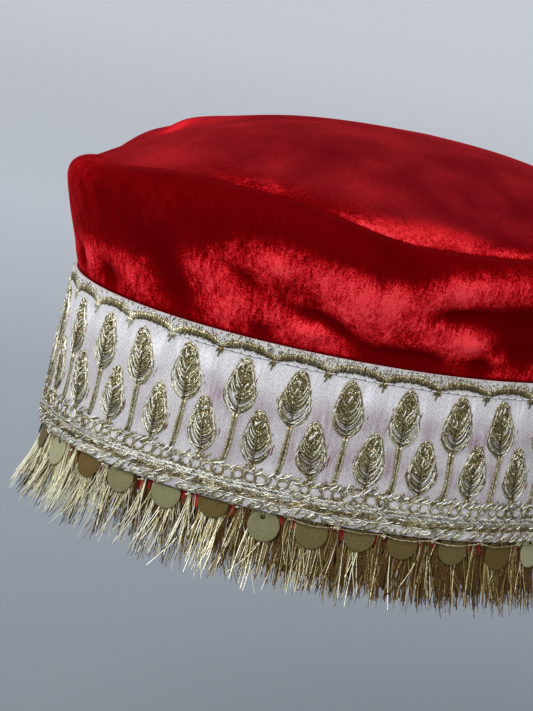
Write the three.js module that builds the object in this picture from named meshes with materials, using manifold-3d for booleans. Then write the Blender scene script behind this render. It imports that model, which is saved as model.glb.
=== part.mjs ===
// Embroidered velvet cap: a soft domed velvet crown in a tall satin band, with a thread fringe
// and a ring of sequins below the band.
// Millimetres, +Z up, +X to the front of the head. The origin is the middle of the head opening,
// level with the band's lower edge.

import * as THREE from 'three';
import { mergeVertices } from 'three/addons/utils/BufferGeometryUtils.js';
import Module from 'manifold-3d';

// Head oval: half sizes of the band's outer face at mid height
const HALF_LENGTH = 100.6;
const HALF_WIDTH = 85.4;

// Band
const BAND_HEIGHT = 57.8;
const BAND_FLARE = 1.9;
const BAND_WALL = 1.2;
const BAND_STEPS = 84;

// Crown
const VELVET_WALL = 2.0;
const HEM_DROP = 3.5;
const HEM_INSET = 2.2;
const CROWN_STEPS = 72;
const DOME_RISE = 22;
const DOME_POWER = 2.6;
const DOME_SHIFT = 10;
const RIDGE_MEAN = 46.5;
const RIDGE_FADE = 3;

// Space kept between neighbouring pieces
const GAP = 0.3;

// Wall of the crown above the band: share of the ridge's height, swell beyond the band's face
const WALL_SECTIONS = [
  { share: 0.03, swell: -0.9 },
  { share: 0.10, swell: 0.2 },
  { share: 0.25, swell: 2.0 },
  { share: 0.50, swell: 5.6 },
  { share: 0.74, swell: 8.6 },
  { share: 0.86, swell: 8.6 },
  { share: 0.94, swell: 6.4 },
  { share: 0.985, swell: 2.8 },
  { share: 1.00, swell: -0.8 },
];

// Top of the crown inside the ridge: share of the way out from the middle
const TOP_SECTIONS = [0.92, 0.80, 0.62, 0.42, 0.20];

// Height of the ridge above the band, round the head: angle from the front in degrees, rise
const RIDGE = [
  { at: 0, rise: 50 },
  { at: 45, rise: 56.5 },
  { at: 90, rise: 54.5 },
  { at: 120, rise: 52 },
  { at: 140, rise: 47.5 },
  { at: 152, rise: 39.5 },
  { at: 165, rise: 36.5 },
  { at: 180, rise: 41 },
  { at: 200, rise: 43 },
  { at: 225, rise: 48.5 },
  { at: 250, rise: 49.5 },
  { at: 270, rise: 45.5 },
  { at: 300, rise: 45.5 },
  { at: 330, rise: 47 },
];

// Folds and dents of the wall: angle and width in degrees, height and reach as shares of the
// ridge's height, depth outwards
const FOLDS = [
  { at: 203, wide: 5, up: 0.17, reach: 0.14, deep: 1.5 },
  { at: 212, wide: 4, up: 0.12, reach: 0.15, deep: -1.5 },
  { at: 232, wide: 4.5, up: 0.27, reach: 0.22, deep: -1.7 },
  { at: 240, wide: 5, up: 0.30, reach: 0.25, deep: 1.2 },
  { at: 249, wide: 5, up: 0.38, reach: 0.35, deep: -2.2 },
  { at: 258, wide: 5, up: 0.45, reach: 0.25, deep: 1.2 },
  { at: 263, wide: 5, up: 0.22, reach: 0.14, deep: -1.5 },
  { at: 269, wide: 6, up: 0.45, reach: 0.22, deep: 1.4 },
  { at: 274.5, wide: 4, up: 0.90, reach: 0.10, deep: -4.0 },
  { at: 280, wide: 7, up: 0.14, reach: 0.12, deep: -1.6 },
  { at: 286, wide: 6, up: 0.70, reach: 0.15, deep: 1.2 },
  { at: 293, wide: 6, up: 0.50, reach: 0.16, deep: -2.0 },
  { at: 303, wide: 5, up: 0.18, reach: 0.14, deep: -1.6 },
  { at: 318, wide: 7, up: 0.45, reach: 0.25, deep: -1.6 },
  { at: 341, wide: 6, up: 0.25, reach: 0.20, deep: -1.7 },
  { at: 3, wide: 7, up: 0.40, reach: 0.28, deep: -1.8 },
  { at: 27, wide: 6, up: 0.22, reach: 0.18, deep: -1.6 },
  { at: 49, wide: 6, up: 0.42, reach: 0.26, deep: -2.0 },
  { at: 71, wide: 5, up: 0.20, reach: 0.16, deep: -1.6 },
  { at: 93, wide: 7, up: 0.45, reach: 0.28, deep: -1.9 },
  { at: 116, wide: 5, up: 0.24, reach: 0.18, deep: -1.6 },
  { at: 138, wide: 6, up: 0.40, reach: 0.24, deep: -1.8 },
  { at: 166, wide: 6, up: 0.30, reach: 0.20, deep: -1.5 },
];

// Soft humps and hollows of the top, in plan: middle, width, height upwards
const TOP_DENTS = [
  { x: -68, y: 52, wide: 14, deep: 2.0 },
  { x: -8, y: 62, wide: 16, deep: -1.6 },
  { x: 22, y: 64, wide: 16, deep: 1.6 },
  { x: 30, y: -38, wide: 22, deep: -1.6 },
  { x: -38, y: -30, wide: 24, deep: 1.4 },
];

// Fringe: heading sewn behind the band, locks hanging from it
const HEADING_INSET = 2.9;
const HEADING_WALL = 0.8;
const HEADING_LOW = 0.6;
const HEADING_HIGH = 5.0;
const HEADING_STEPS = 80;
const LOCK_COUNT = 80;
const LOCK_LENGTH_SPREAD = 0.10;
const LOCK_SWAY = 2.4;

// One lock from root to tip: height at full length, place outwards from the heading, width, thickness
const LOCK_SECTIONS = [
  { z: 2.6, out: 0.0, wide: 5.4, thick: 0.5 },
  { z: -4.0, out: 0.9, wide: 6.2, thick: 0.7 },
  { z: -11.0, out: 2.0, wide: 5.6, thick: 0.8 },
  { z: -26.5, out: 7.6, wide: 2.2, thick: 0.5 },
];

// Sequins
const SEQUIN_RADIUS = 5.7;
const SEQUIN_WALL = 0.4;
const SEQUIN_HOLE_RADIUS = 0.8;
const SEQUIN_HOLE_UP = 3.0;
const SEQUIN_SIDES = 12;
const SEQUIN_HOLE_SIDES = 6;
const SEQUIN_TILT = 7;
const SEQUIN_INSET = 0.95;
const SEQUIN_START = 323.0;
const SEQUIN_COUNT = 32;

// How each of a run of sequins hangs, repeated round the cap: stray along the edge, height of the
// middle, turn in its own plane in degrees
const SEQUIN_RUN = [
  { along: -0.9, z: -4.6, turn: 10 },
  { along: 1.8, z: -2.5, turn: -8 },
  { along: 0.0, z: -2.9, turn: 4 },
  { along: 1.4, z: -2.8, turn: -12 },
  { along: 1.1, z: -1.4, turn: 6 },
  { along: 1.9, z: -5.2, turn: 16 },
  { along: 0.5, z: -4.4, turn: -6 },
  { along: -1.0, z: -2.4, turn: 8 },
  { along: -3.4, z: -3.2, turn: -10 },
  { along: -2.0, z: -3.6, turn: 5 },
  { along: 0.0, z: -4.9, turn: -14 },
];

const velvet = new THREE.MeshStandardMaterial({ color: 0xa00d14, roughness: 0.6, metalness: 0.0 });
const satin = new THREE.MeshStandardMaterial({ color: 0xdedce2, roughness: 0.5, metalness: 0.0 });
const thread = new THREE.MeshStandardMaterial({ color: 0xb8a66a, roughness: 0.4, metalness: 0.7 });
const foil = new THREE.MeshStandardMaterial({ color: 0x8f8150, roughness: 0.35, metalness: 0.8 });

const wasm = await Module();
wasm.setup();

// Ellipse in plan, at a distance outside the band's outer face at mid height
function oval(grow) {
  return new THREE.EllipseCurve(0, 0, HALF_LENGTH + grow, HALF_WIDTH + grow, 0, 2 * Math.PI);
}

// Point, outward direction and direction along the oval at a share of its length
function stationOnOval(grow, share) {
  const curve = oval(grow);
  const u = ((share % 1) + 1) % 1;
  const place = curve.getPointAt(u);
  const along = curve.getTangentAt(u);
  return {
    place: new THREE.Vector3(place.x, place.y, 0),
    along: new THREE.Vector3(along.x, along.y, 0),
    out: new THREE.Vector3(along.y, -along.x, 0),
  };
}

// Closed surface from rings of points: rings joined in order, the last one joined to the first
function ringTorus(rings) {
  const steps = rings[0].length;
  const index = [];
  rings.forEach((ring, r) => {
    const next = (r + 1) % rings.length;
    ring.forEach((point, i) => {
      const j = (i + 1) % steps;
      index.push(r * steps + i, r * steps + j, next * steps + j);
      index.push(r * steps + i, next * steps + j, next * steps + i);
    });
  });
  return { points: rings.flat(), index };
}

function toGeometry({ points, index }) {
  const geometry = new THREE.BufferGeometry().setFromPoints(points);
  geometry.setIndex(index);
  geometry.computeVertexNormals();
  return geometry;
}

function toSolid(geometry) {
  const bare = geometry.clone();
  bare.deleteAttribute('normal');
  bare.deleteAttribute('uv');
  const merged = mergeVertices(bare, 1e-3);
  return new wasm.Manifold(new wasm.Mesh({
    numProp: 3,
    vertProperties: new Float32Array(merged.attributes.position.array),
    triVerts: new Uint32Array(merged.index.array),
  }));
}

function fromSolid(solid) {
  const mesh = solid.getMesh();
  const geometry = new THREE.BufferGeometry();
  geometry.setAttribute('position', new THREE.BufferAttribute(mesh.vertProperties, 3));
  geometry.setIndex(new THREE.BufferAttribute(mesh.triVerts, 1));
  geometry.computeVertexNormals();
  return geometry;
}

// Ring of points on the oval at one height
function levelRing(grow, z, steps) {
  const curve = oval(grow);
  return Array.from({ length: steps }, (_, i) => {
    const p = curve.getPoint(i / steps);
    return new THREE.Vector3(p.x, p.y, z);
  });
}

// Ridge height at an angle in degrees: cubic through the rows of the table, closed on itself
function ridgeHeight(degrees) {
  const count = RIDGE.length;
  const row = (i) => {
    const turn = Math.floor(i / count);
    const { at, rise } = RIDGE[i - turn * count];
    return { at: at + 360 * turn, rise };
  };
  const angle = ((degrees % 360) + 360) % 360;
  let i = 0;
  while (row(i + 1).at <= angle) i += 1;
  const [a, b, c, d] = [row(i - 1), row(i), row(i + 1), row(i + 2)];
  const span = c.at - b.at;
  const f = (angle - b.at) / span;
  const slopeB = (c.rise - a.rise) / (c.at - a.at) * span;
  const slopeC = (d.rise - b.rise) / (d.at - b.at) * span;
  const f2 = f * f;
  const f3 = f2 * f;
  return (2 * f3 - 3 * f2 + 1) * b.rise + (f3 - 2 * f2 + f) * slopeB
    + (3 * f2 - 2 * f3) * c.rise + (f3 - f2) * slopeC;
}

// Sum of the folds at an angle and share of the ridge's height, fading out at the band
function foldDepth(degrees, share) {
  const fade = THREE.MathUtils.smoothstep(share, 0.02, 0.12);
  return fade * FOLDS.reduce((sum, { at, wide, up, reach, deep }) => {
    const turn = ((degrees - at + 540) % 360) - 180;
    return sum + deep * Math.exp(-((turn / wide) ** 2) - ((share - up) / reach) ** 2);
  }, 0);
}

function dentHeight(x, y) {
  return TOP_DENTS.reduce(
    (sum, dent) => sum + dent.deep * Math.exp(-((x - dent.x) ** 2 + (y - dent.y) ** 2) / dent.wide ** 2),
    0,
  );
}

// Rings of the crown's outer face: hem, wall behind the band, puffed wall, domed top
function crownRings() {
  const face = -BAND_FLARE / 2;
  const angles = Array.from({ length: CROWN_STEPS }, (_, i) => 2 * Math.PI * i / CROWN_STEPS);
  const onOval = (angle, grow, keep, z) => new THREE.Vector3(
    (HALF_LENGTH + grow) * keep * Math.cos(angle),
    (HALF_WIDTH + grow) * keep * Math.sin(angle),
    z,
  );
  const rings = [
    levelRing(face - HEM_INSET, -HEM_DROP, CROWN_STEPS),
    levelRing(face - HEM_INSET, HEADING_HIGH, CROWN_STEPS),
    levelRing(face - BAND_WALL - GAP, BAND_HEIGHT, CROWN_STEPS),
  ];
  for (const { share, swell } of WALL_SECTIONS) {
    rings.push(angles.map((angle) => {
      const degrees = THREE.MathUtils.radToDeg(angle);
      const grow = face + swell + foldDepth(degrees, share);
      return onOval(angle, grow, 1, BAND_HEIGHT + share * ridgeHeight(degrees));
    }));
  }
  const rim = face + WALL_SECTIONS.at(-1).swell;
  for (const keep of TOP_SECTIONS) {
    rings.push(angles.map((angle) => {
      const ridge = ridgeHeight(THREE.MathUtils.radToDeg(angle));
      const rise = RIDGE_MEAN + (ridge - RIDGE_MEAN) * keep ** RIDGE_FADE
        + DOME_RISE * (1 - keep ** DOME_POWER);
      const point = onOval(angle, rim, keep, BAND_HEIGHT + rise);
      point.x += DOME_SHIFT * (1 - keep ** 2);
      point.z += dentHeight(point.x, point.y);
      return point;
    }));
  }
  const peak = BAND_HEIGHT + RIDGE_MEAN + DOME_RISE + dentHeight(DOME_SHIFT, 0);
  const apex = new THREE.Vector3(DOME_SHIFT, 0, peak);
  return { rings, apex };
}

// Crown: the outer face and its copy moved in by the cloth's thickness, joined at the hem
function crownGeometry() {
  const { rings, apex } = crownRings();
  const outer = rings.flat();
  outer.push(apex);
  const top = outer.length - 1;
  const rows = rings.length;
  const faces = [];
  const at = (r, i) => r * CROWN_STEPS + (i % CROWN_STEPS);
  for (let i = 0; i < CROWN_STEPS; i += 1) {
    for (let r = 0; r < rows - 1; r += 1) {
      faces.push([at(r, i), at(r, i + 1), at(r + 1, i + 1)]);
      faces.push([at(r, i), at(r + 1, i + 1), at(r + 1, i)]);
    }
    faces.push([at(rows - 1, i), at(rows - 1, i + 1), top]);
  }
  const skin = toGeometry({ points: outer, index: faces.flat() });
  const normals = skin.attributes.normal;
  const inner = outer.map((point, k) => {
    const normal = new THREE.Vector3().fromBufferAttribute(normals, k);
    if (k < 2 * CROWN_STEPS) normal.setZ(0).normalize();
    return point.clone().addScaledVector(normal, -VELVET_WALL);
  });
  const shift = outer.length;
  const index = faces.flat();
  for (const [a, b, c] of faces) index.push(a + shift, c + shift, b + shift);
  for (let i = 0; i < CROWN_STEPS; i += 1) {
    const a = at(0, i);
    const b = at(0, i + 1);
    index.push(a + shift, b + shift, b, a + shift, b, a);
  }
  return toGeometry({ points: outer.concat(inner), index });
}

// Band: four rings round the oval, wider at the lower edge
function bandGeometry() {
  const low = BAND_FLARE / 2;
  const high = -BAND_FLARE / 2;
  return toGeometry(ringTorus([
    levelRing(low, 0, BAND_STEPS),
    levelRing(high, BAND_HEIGHT, BAND_STEPS),
    levelRing(high - BAND_WALL, BAND_HEIGHT, BAND_STEPS),
    levelRing(low - BAND_WALL, 0, BAND_STEPS),
  ]));
}

// A lock's own leaning, between -1 and 1, different for each lock and each use
function lean(lock, use) {
  return Math.sin(lock * (2.39 + use) + use * 1.7);
}

// One tapered lock of the fringe, as a closed strip through the rows of the table
function lockGeometry(lock) {
  const middle = -HEADING_INSET + HEADING_WALL / 2;
  const { place, along, out } = stationOnOval(middle, lock / LOCK_COUNT);
  const tip = LOCK_SECTIONS.at(-1).z;
  const length = 1 + LOCK_LENGTH_SPREAD * lean(lock, 1);
  const points = [];
  for (const section of LOCK_SECTIONS) {
    const drop = Math.min(section.z, 0) / tip;
    const centre = place.clone()
      .addScaledVector(out, section.out)
      .addScaledVector(along, LOCK_SWAY * lean(lock, 2) * drop);
    centre.z = section.z < 0 ? section.z * (1 + (length - 1) * drop) : section.z;
    for (const [side, face] of [[-1, -1], [-1, 1], [1, 1], [1, -1]]) {
      points.push(centre.clone()
        .addScaledVector(along, side * section.wide / 2)
        .addScaledVector(out, face * section.thick / 2));
    }
  }
  const index = [0, 1, 2, 0, 2, 3];
  for (let s = 0; s < LOCK_SECTIONS.length - 1; s += 1) {
    for (let c = 0; c < 4; c += 1) {
      const a = 4 * s + c;
      const b = 4 * s + (c + 1) % 4;
      index.push(a, b + 4, b, a, a + 4, b + 4);
    }
  }
  const e = 4 * (LOCK_SECTIONS.length - 1);
  index.push(e, e + 2, e + 1, e, e + 3, e + 2);
  return toGeometry({ points, index });
}

// Fringe: heading ring with every lock joined to it
function fringeGeometry() {
  const inner = -HEADING_INSET;
  const heading = toGeometry(ringTorus([
    levelRing(inner + HEADING_WALL, HEADING_LOW, HEADING_STEPS),
    levelRing(inner + HEADING_WALL, HEADING_HIGH, HEADING_STEPS),
    levelRing(inner, HEADING_HIGH, HEADING_STEPS),
    levelRing(inner, HEADING_LOW, HEADING_STEPS),
  ]));
  const locks = Array.from({ length: LOCK_COUNT }, (_, lock) => toSolid(lockGeometry(lock)));
  return fromSolid(locks.reduce((joined, lock) => joined.add(lock), toSolid(heading)));
}

function polygon(radius, sides, up) {
  return Array.from({ length: sides }, (_, i) => {
    const angle = 2 * Math.PI * (i + 0.5) / sides;
    return new THREE.Vector2(radius * Math.cos(angle), up + radius * Math.sin(angle));
  });
}

// Sequin: flat disc in its own XY plane with a hole above its middle
function sequinGeometry() {
  const disc = new THREE.Shape(polygon(SEQUIN_RADIUS, SEQUIN_SIDES, 0));
  disc.holes.push(new THREE.Path(polygon(SEQUIN_HOLE_RADIUS, SEQUIN_HOLE_SIDES, SEQUIN_HOLE_UP)));
  const geometry = new THREE.ExtrudeGeometry(disc, { depth: SEQUIN_WALL, bevelEnabled: false });
  return geometry.translate(0, 0, -SEQUIN_WALL / 2);
}

// Sequins hang in one cone behind the band's lower edge, tilted outwards towards the bottom
function addSequins(cap) {
  const tilt = THREE.MathUtils.degToRad(SEQUIN_TILT);
  const edge = oval(-SEQUIN_INSET).getLength();
  const geometry = sequinGeometry();
  for (let n = 0; n < SEQUIN_COUNT; n += 1) {
    const { along: stray, z, turn } = SEQUIN_RUN[n % SEQUIN_RUN.length];
    const share = (SEQUIN_START + stray) / edge + n / SEQUIN_COUNT;
    const { place, along, out } = stationOnOval(-SEQUIN_INSET, share);
    const up = new THREE.Vector3(0, 0, Math.cos(tilt)).addScaledVector(out, -Math.sin(tilt));
    const facing = new THREE.Vector3().crossVectors(along, up);
    const sequin = new THREE.Mesh(geometry, foil);
    sequin.name = `sequin_${String(n + 1).padStart(2, '0')}`;
    sequin.rotation.setFromRotationMatrix(new THREE.Matrix4().makeBasis(along, up, facing));
    sequin.rotateZ(THREE.MathUtils.degToRad(turn));
    sequin.position.copy(place).addScaledVector(out, -z * Math.tan(tilt)).setZ(z);
    cap.add(sequin);
  }
}

const cap = new THREE.Group();
for (const [name, geometry, material] of [
  ['crown', crownGeometry(), velvet],
  ['band', bandGeometry(), satin],
  ['fringe', fringeGeometry(), thread],
]) {
  const piece = new THREE.Mesh(geometry, material);
  piece.name = name;
  cap.add(piece);
}
addSequins(cap);

export default cap;
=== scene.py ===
"""Looks of the embroidered velvet cap: velvet crown, satin band, metallic thread, sequins, fringe.

Everything is in metres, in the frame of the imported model: +Z up, +X to the front of the head, and
the origin in the middle of the head opening, level with the band's lower edge.
"""

import math

import bpy
import numpy as np
from bpy.props import FloatProperty, FloatVectorProperty, IntProperty, PointerProperty
from mathutils import Matrix, Vector


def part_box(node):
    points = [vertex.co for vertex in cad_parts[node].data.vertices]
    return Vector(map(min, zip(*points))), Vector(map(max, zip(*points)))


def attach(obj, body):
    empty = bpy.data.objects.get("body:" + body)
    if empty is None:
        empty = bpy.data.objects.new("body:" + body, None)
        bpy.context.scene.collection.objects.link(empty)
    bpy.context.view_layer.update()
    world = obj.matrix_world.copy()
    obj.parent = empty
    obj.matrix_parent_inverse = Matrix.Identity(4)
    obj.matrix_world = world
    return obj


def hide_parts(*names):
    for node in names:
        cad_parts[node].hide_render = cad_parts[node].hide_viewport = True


bl_info = {
    "name": "Embroidered Velvet Cap",
    "version": (1, 0, 0),
    "blender": (4, 5, 0),
    "location": "3D View > Sidebar > Cap",
    "description": "Builds a velvet cap with an embroidered satin band, sequins and a thread fringe",
    "category": "Object",
}

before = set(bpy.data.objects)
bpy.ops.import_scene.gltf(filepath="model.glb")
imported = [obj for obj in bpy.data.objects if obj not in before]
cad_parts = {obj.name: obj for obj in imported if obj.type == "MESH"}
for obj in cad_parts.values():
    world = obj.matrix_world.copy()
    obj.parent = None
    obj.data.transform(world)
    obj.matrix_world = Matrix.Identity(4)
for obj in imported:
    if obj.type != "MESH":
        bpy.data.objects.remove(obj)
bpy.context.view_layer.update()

MM = 0.001
SEED = 20

# Head oval: half sizes of the band's outer face at mid height
BAND_FLARE = 1.9 * MM
BAND_WALL = 1.2 * MM
BAND_LOW, BAND_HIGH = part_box("band")
BAND_HEIGHT = BAND_HIGH.z - BAND_LOW.z
HALF_LENGTH = BAND_HIGH.x - BAND_FLARE / 2
HALF_WIDTH = BAND_HIGH.y - BAND_FLARE / 2

# Crown
CROWN_LOW, CROWN_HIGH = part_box("crown")
HEM_DROP = -CROWN_LOW.z + 2.2 * MM
HEM_INSET = 1.5 * MM
HEM_TOP = 5.0 * MM
GAP = 0.3 * MM
DOME_RISE = 22 * MM
DOME_POWER = 2.6
DOME_SHIFT = 10 * MM
RIDGE_MEAN = 46.5 * MM
RIDGE_FADE = 3

# Sequins and the sewing line of the fringe
SEQUIN_NODES = sorted(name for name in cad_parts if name.startswith("sequin_"))
SEQUIN_TILT = math.radians(7)
TUFTS_PER_SEQUIN = 3

# Open stretch on the side where the light falls, where the thread work is looser, and paler as
# painted light: its middle, and its half width for each kind of work, in degrees round the cap
OPEN_AND_LIT_MIDDLE = 198
OPEN_AND_LIT_WIDE = {
    "top": 34, "seam": 34, "flecks": 34, "spikes": 36, "loops": 40, "arches": 42, "satin": 46,
    "leaves": 50, "fringe": 50,
}

# Places in degrees round the cap: where the painted highlight moves to the other side of the leaves,
# where the stitches over the rings grow dense, and where the edge thread begins to sag
LIT_SIDE_TURN = 256
DENSE_FROM, DENSE_TO = 245, 285
SAG_FROM, SAG_TO = 252, 268

# Stretches where the pale cords are worn thin: middle and half width in degrees, strength
WORN_CORDS = ((315, 52, 1.0), (194, 24, 1.5))

# Rows of stitches higher than this on the band, in mm, lie over the rings
RINGS_TOP = 12


def table(columns, *rows):
    """A short table of numbers with named columns."""
    return np.array(list(rows), dtype=[(name, float) for name in columns.split()])


# Crown wall above the band: share of the ridge's height, swell beyond the band's face in mm
WALL_SECTIONS = table(
    "share swell",
    (0.03, -0.9), (0.10, 0.2), (0.25, 2.0), (0.50, 5.6), (0.74, 8.6), (0.86, 8.6), (0.94, 6.4),
    (0.985, 2.8), (1.00, -0.8),
)

# Height of the ridge above the band in mm, by angle from the front in degrees
RIDGE = table(
    "at rise",
    (0, 50), (45, 56.5), (90, 54.5), (120, 52), (140, 47.5), (152, 39.5), (165, 36.5), (180, 41),
    (200, 43), (225, 48.8), (250, 50), (262, 47.4), (273, 43.4), (287, 42.8), (303, 43.4), (330, 46.5),
)

# Folds and dents of the wall: angle and width in degrees, height and reach as shares of the
# ridge's height, slant in degrees over that height, depth outwards in mm
FOLDS = table(
    "at wide up reach slant deep",
    (192, 4.5, 0.17, 0.13, -6, -2.4), (200, 3.5, 0.22, 0.13, 0, 1.0), (208.5, 3.6, 0.13, 0.10, -12, -2.6),
    (219, 5, 0.20, 0.15, 0, 0.8), (229.5, 5.0, 0.22, 0.26, -18, -2.2), (238, 4.5, 0.40, 0.14, -30, 1.2),
    (243, 5, 0.16, 0.12, 0, 1.0), (246.5, 3.4, 0.40, 0.10, -50, -1.6), (250, 3.2, 0.07, 0.06, 0, -2.0),
    (252, 4, 0.56, 0.08, 0, 1.2), (257, 5, 0.40, 0.06, 0, -1.0), (259.5, 4, 0.27, 0.06, 0, -1.9),
    (261, 4, 0.13, 0.07, 0, 1.2), (266, 3, 0.22, 0.08, -40, -2.2), (271, 8, 0.50, 0.14, 0, 1.2),
    (274.5, 4.0, 0.90, 0.11, -25, -4.0), (280.5, 12, 0.090, 0.085, 0, -3.0), (286, 6, 0.75, 0.14, 0, 1.0),
    (288, 6, 0.52, 0.08, 40, -1.6), (291, 4, 0.32, 0.10, 0, 1.2), (303, 11, 0.51, 0.16, 0, -2.6),
    (304, 8, 0.22, 0.16, 0, -1.7), (293, 2.5, 0.27, 0.05, 0, 0.9), (300, 2.2, 0.17, 0.05, 0, 1.6),
    (296.5, 3, 0.09, 0.08, 0, -1.5), (318, 7, 0.45, 0.25, 20, -1.6), (341, 4, 0.25, 0.24, -45, -1.2),
    (3, 6, 0.42, 0.30, 40, -1.1), (15, 7, 0.30, 0.20, 0, 0.8), (27, 3.5, 0.22, 0.22, -60, -1.2),
    (49, 6, 0.45, 0.30, 45, -1.2), (60, 7, 0.25, 0.20, 0, 0.8), (71, 3.5, 0.20, 0.20, 30, -1.1),
    (93, 6, 0.45, 0.30, -45, -1.2), (104, 7, 0.30, 0.20, 0, 0.8), (116, 3.5, 0.24, 0.22, 55, -1.1),
    (127, 6, 0.20, 0.18, 0, 0.7), (138, 5, 0.40, 0.28, -50, -1.2), (166, 4, 0.30, 0.22, 35, -1.1),
)

# Soft humps and hollows of the top in plan: middle, width and height, all in mm
TOP_DENTS = table(
    "x y wide deep",
    (-68, 52, 14, 2.0), (-8, 62, 16, -1.6), (22, 64, 16, 1.6), (30, -38, 22, -1.6),
    (-38, -30, 24, 1.4),
)

# Painted light on the lower wall, by angle in degrees: its upper end as a share of the ridge's
# height, and its strength
SHINE_TOP = table(
    "at share strength",
    (20, 0.72, 1.0), (60, 0.80, 1.0), (110, 0.66, 1.0), (150, 0.62, 0.9), (185, 0.36, 0.72),
    (205, 0.38, 0.72), (216, 0.38, 0.68), (226, 0.42, 0.66), (233, 0.48, 0.72), (241, 0.66, 0.72),
    (249, 0.74, 0.74), (259, 0.72, 0.92), (266, 0.72, 1.0), (274, 0.73, 1.0), (282, 0.835, 1.05),
    (291, 0.92, 1.10), (300, 0.95, 1.14), (318, 0.80, 1.05), (342, 0.70, 1.0),
)

# Painted highlights on the top, and a faint painted shade where the strength is below 0: angle
# and width in degrees, share of the way out, reach, strength
TOP_SHINE = table(
    "at wide keep reach strength",
    (280, 13, 0.950, 0.070, 0.62), (267, 6, 0.985, 0.028, 0.46), (299, 9, 0.988, 0.030, 0.45),
    (244, 9, 0.965, 0.050, 0.16), (262, 6, 0.80, 0.05, 0.14), (147, 5, 0.89, 0.05, 0.52),
    (60, 16, 0.94, 0.05, 0.25), (10, 12, 0.95, 0.05, 0.45), (200, 45, 0.80, 0.30, 0.14),
    (110, 70, 0.86, 0.30, 0.22), (150, 20, 0.97, 0.10, 0.16), (295, 50, 0.80, 0.16, -0.07),
)

# One lock of the fringe: share of its length, place outwards from the sewing line in mm
LOCK_OUT = table("share out", (0.0, 0.0), (0.22, 0.9), (0.45, 2.0), (0.75, 4.6), (1.0, 7.6))

# Fringe round the cap by angle in degrees: change of tone as painted light and shade, share of
# bright strands as painted light, outward flare
FRINGE_LOOK = table(
    "at tone bright flare",
    (30, 0.0, 0.4, 1.0), (90, 0.05, 0.5, 1.0), (150, 0.10, 0.6, 1.1), (190, -0.04, 0.44, 1.10),
    (206, 0.24, 0.48, 1.18), (225, 0.10, 0.38, 1.08), (245, -0.10, 0.30, 1.0), (262, -0.20, 0.27, 0.95),
    (278, -0.40, 0.06, 0.9), (300, -0.52, 0.03, 0.9), (325, -0.46, 0.06, 0.9), (350, -0.10, 0.30, 1.0),
)

# Half width of a leaf over its greatest, by share of its length
LEAF_OUTLINE = table(
    "share half",
    (0.0, 0.0), (0.04, 0.40), (0.09, 0.62), (0.18, 0.87), (0.27, 0.97), (0.36, 1.0), (0.50, 0.90),
    (0.62, 0.77), (0.72, 0.65), (0.81, 0.54), (0.89, 0.42), (0.95, 0.28), (1.0, 0.0),
)

# Short stitches of the lower border, a row each: how many, height on the band in mm, spread in mm,
# slope in degrees, half length in mm, tone, half thickness in mm. The dark rows just under a bright
# row, at 12.8, 14.1, 4.9 and 1.0 mm, are painted shadows of it
BORDER_STITCHES = table(
    "count height spread slope reach tone radius",
    (230, 13.2, 0.40, 34, 1.8, 0.42, 0.29), (170, 12.8, 0.45, 30, 1.8, -0.40, 0.26),
    (130, 14.6, 0.45, 36, 1.5, 0.15, 0.27), (120, 14.1, 0.45, 38, 1.4, -0.35, 0.24),
    (50, 10.8, 0.70, 58, 1.4, -0.20, 0.27), (110, 9.0, 0.30, 20, 1.4, -0.25, 0.26),
    (70, 8.7, 0.25, 18, 1.3, 0.28, 0.25), (100, 7.35, 0.20, 12, 1.2, -0.45, 0.20),
    (100, 5.2, 0.60, 22, 1.4, 0.28, 0.26), (180, 4.9, 0.70, 24, 1.4, -0.40, 0.26),
    (160, 3.9, 0.40, 18, 1.3, -0.05, 0.26), (130, 2.8, 0.40, 20, 1.3, 0.25, 0.25),
    (110, 1.6, 0.45, 30, 1.3, 0.25, 0.26), (130, 1.0, 0.30, 20, 1.1, -0.35, 0.23),
)

# Turn of each sequin in its own plane in degrees, repeated round the cap
SEQUIN_TURNS = (10, -8, 4, -12, 6, 16, -6, 8, -10, 5, -14)

# Shade of each sequin's foil, a painted reflection of the light at its angle, repeated round the cap
SEQUIN_REFLECTIONS = (1.00, 0.12, 0.37, 0.43, 0.14, 0.40, 0.19, 0.19, 0.14, 0.17, 0.11)


# Arithmetic of shapes


def unit(vectors):
    """Vectors along the last axis, each made one long."""
    return vectors / np.maximum(np.linalg.norm(vectors, axis=-1, keepdims=True), 1e-12)


def smoothstep(value, low, high):
    """0 below low, 1 above high, and an S-shaped cubic between them."""
    share = np.clip((value - low) / (high - low), 0, 1)
    return share * share * (3 - 2 * share)


def smooth_curve(value, places, heights):
    """Cubic through the points (places, heights), with the slope at each point taken from its
    neighbours, and held level outside them."""
    value = np.clip(value, places[0], places[-1])
    slopes = np.gradient(heights, places)
    slopes[1:-1] = (heights[2:] - heights[:-2]) / (places[2:] - places[:-2])
    i = np.clip(np.searchsorted(places, value, side="right") - 1, 0, len(places) - 2)
    span = places[i + 1] - places[i]
    f = (value - places[i]) / span
    return (
        (2 * f**3 - 3 * f**2 + 1) * heights[i]
        + (f**3 - 2 * f**2 + f) * span * slopes[i]
        + (3 * f**2 - 2 * f**3) * heights[i + 1]
        + (f**3 - f**2) * span * slopes[i + 1]
    )


def round_curve(degrees, places, heights):
    """The same cubic round a full turn, closed on itself."""
    places = np.concatenate((places[-3:] - 360, places, places[:3] + 360))
    heights = np.concatenate((heights[-3:], heights, heights[:3]))
    return smooth_curve(np.mod(degrees - places[3], 360) + places[3], places, heights)


def turn_between(degrees, at):
    """Signed angle in degrees from at to degrees, between -180 and 180."""
    return np.mod(degrees - at + 180, 360) - 180


def stretch_round(degrees, at, wide):
    """1 round the angle at, falling to 0 about wide degrees away on both sides."""
    return np.exp(-((turn_between(degrees, at) / wide) ** 6))


def bell(value, middle, wide):
    """Gaussian that is 1 at middle and falls to 1/e at a distance of wide."""
    return np.exp(-(((value - middle) / wide) ** 2))


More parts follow.
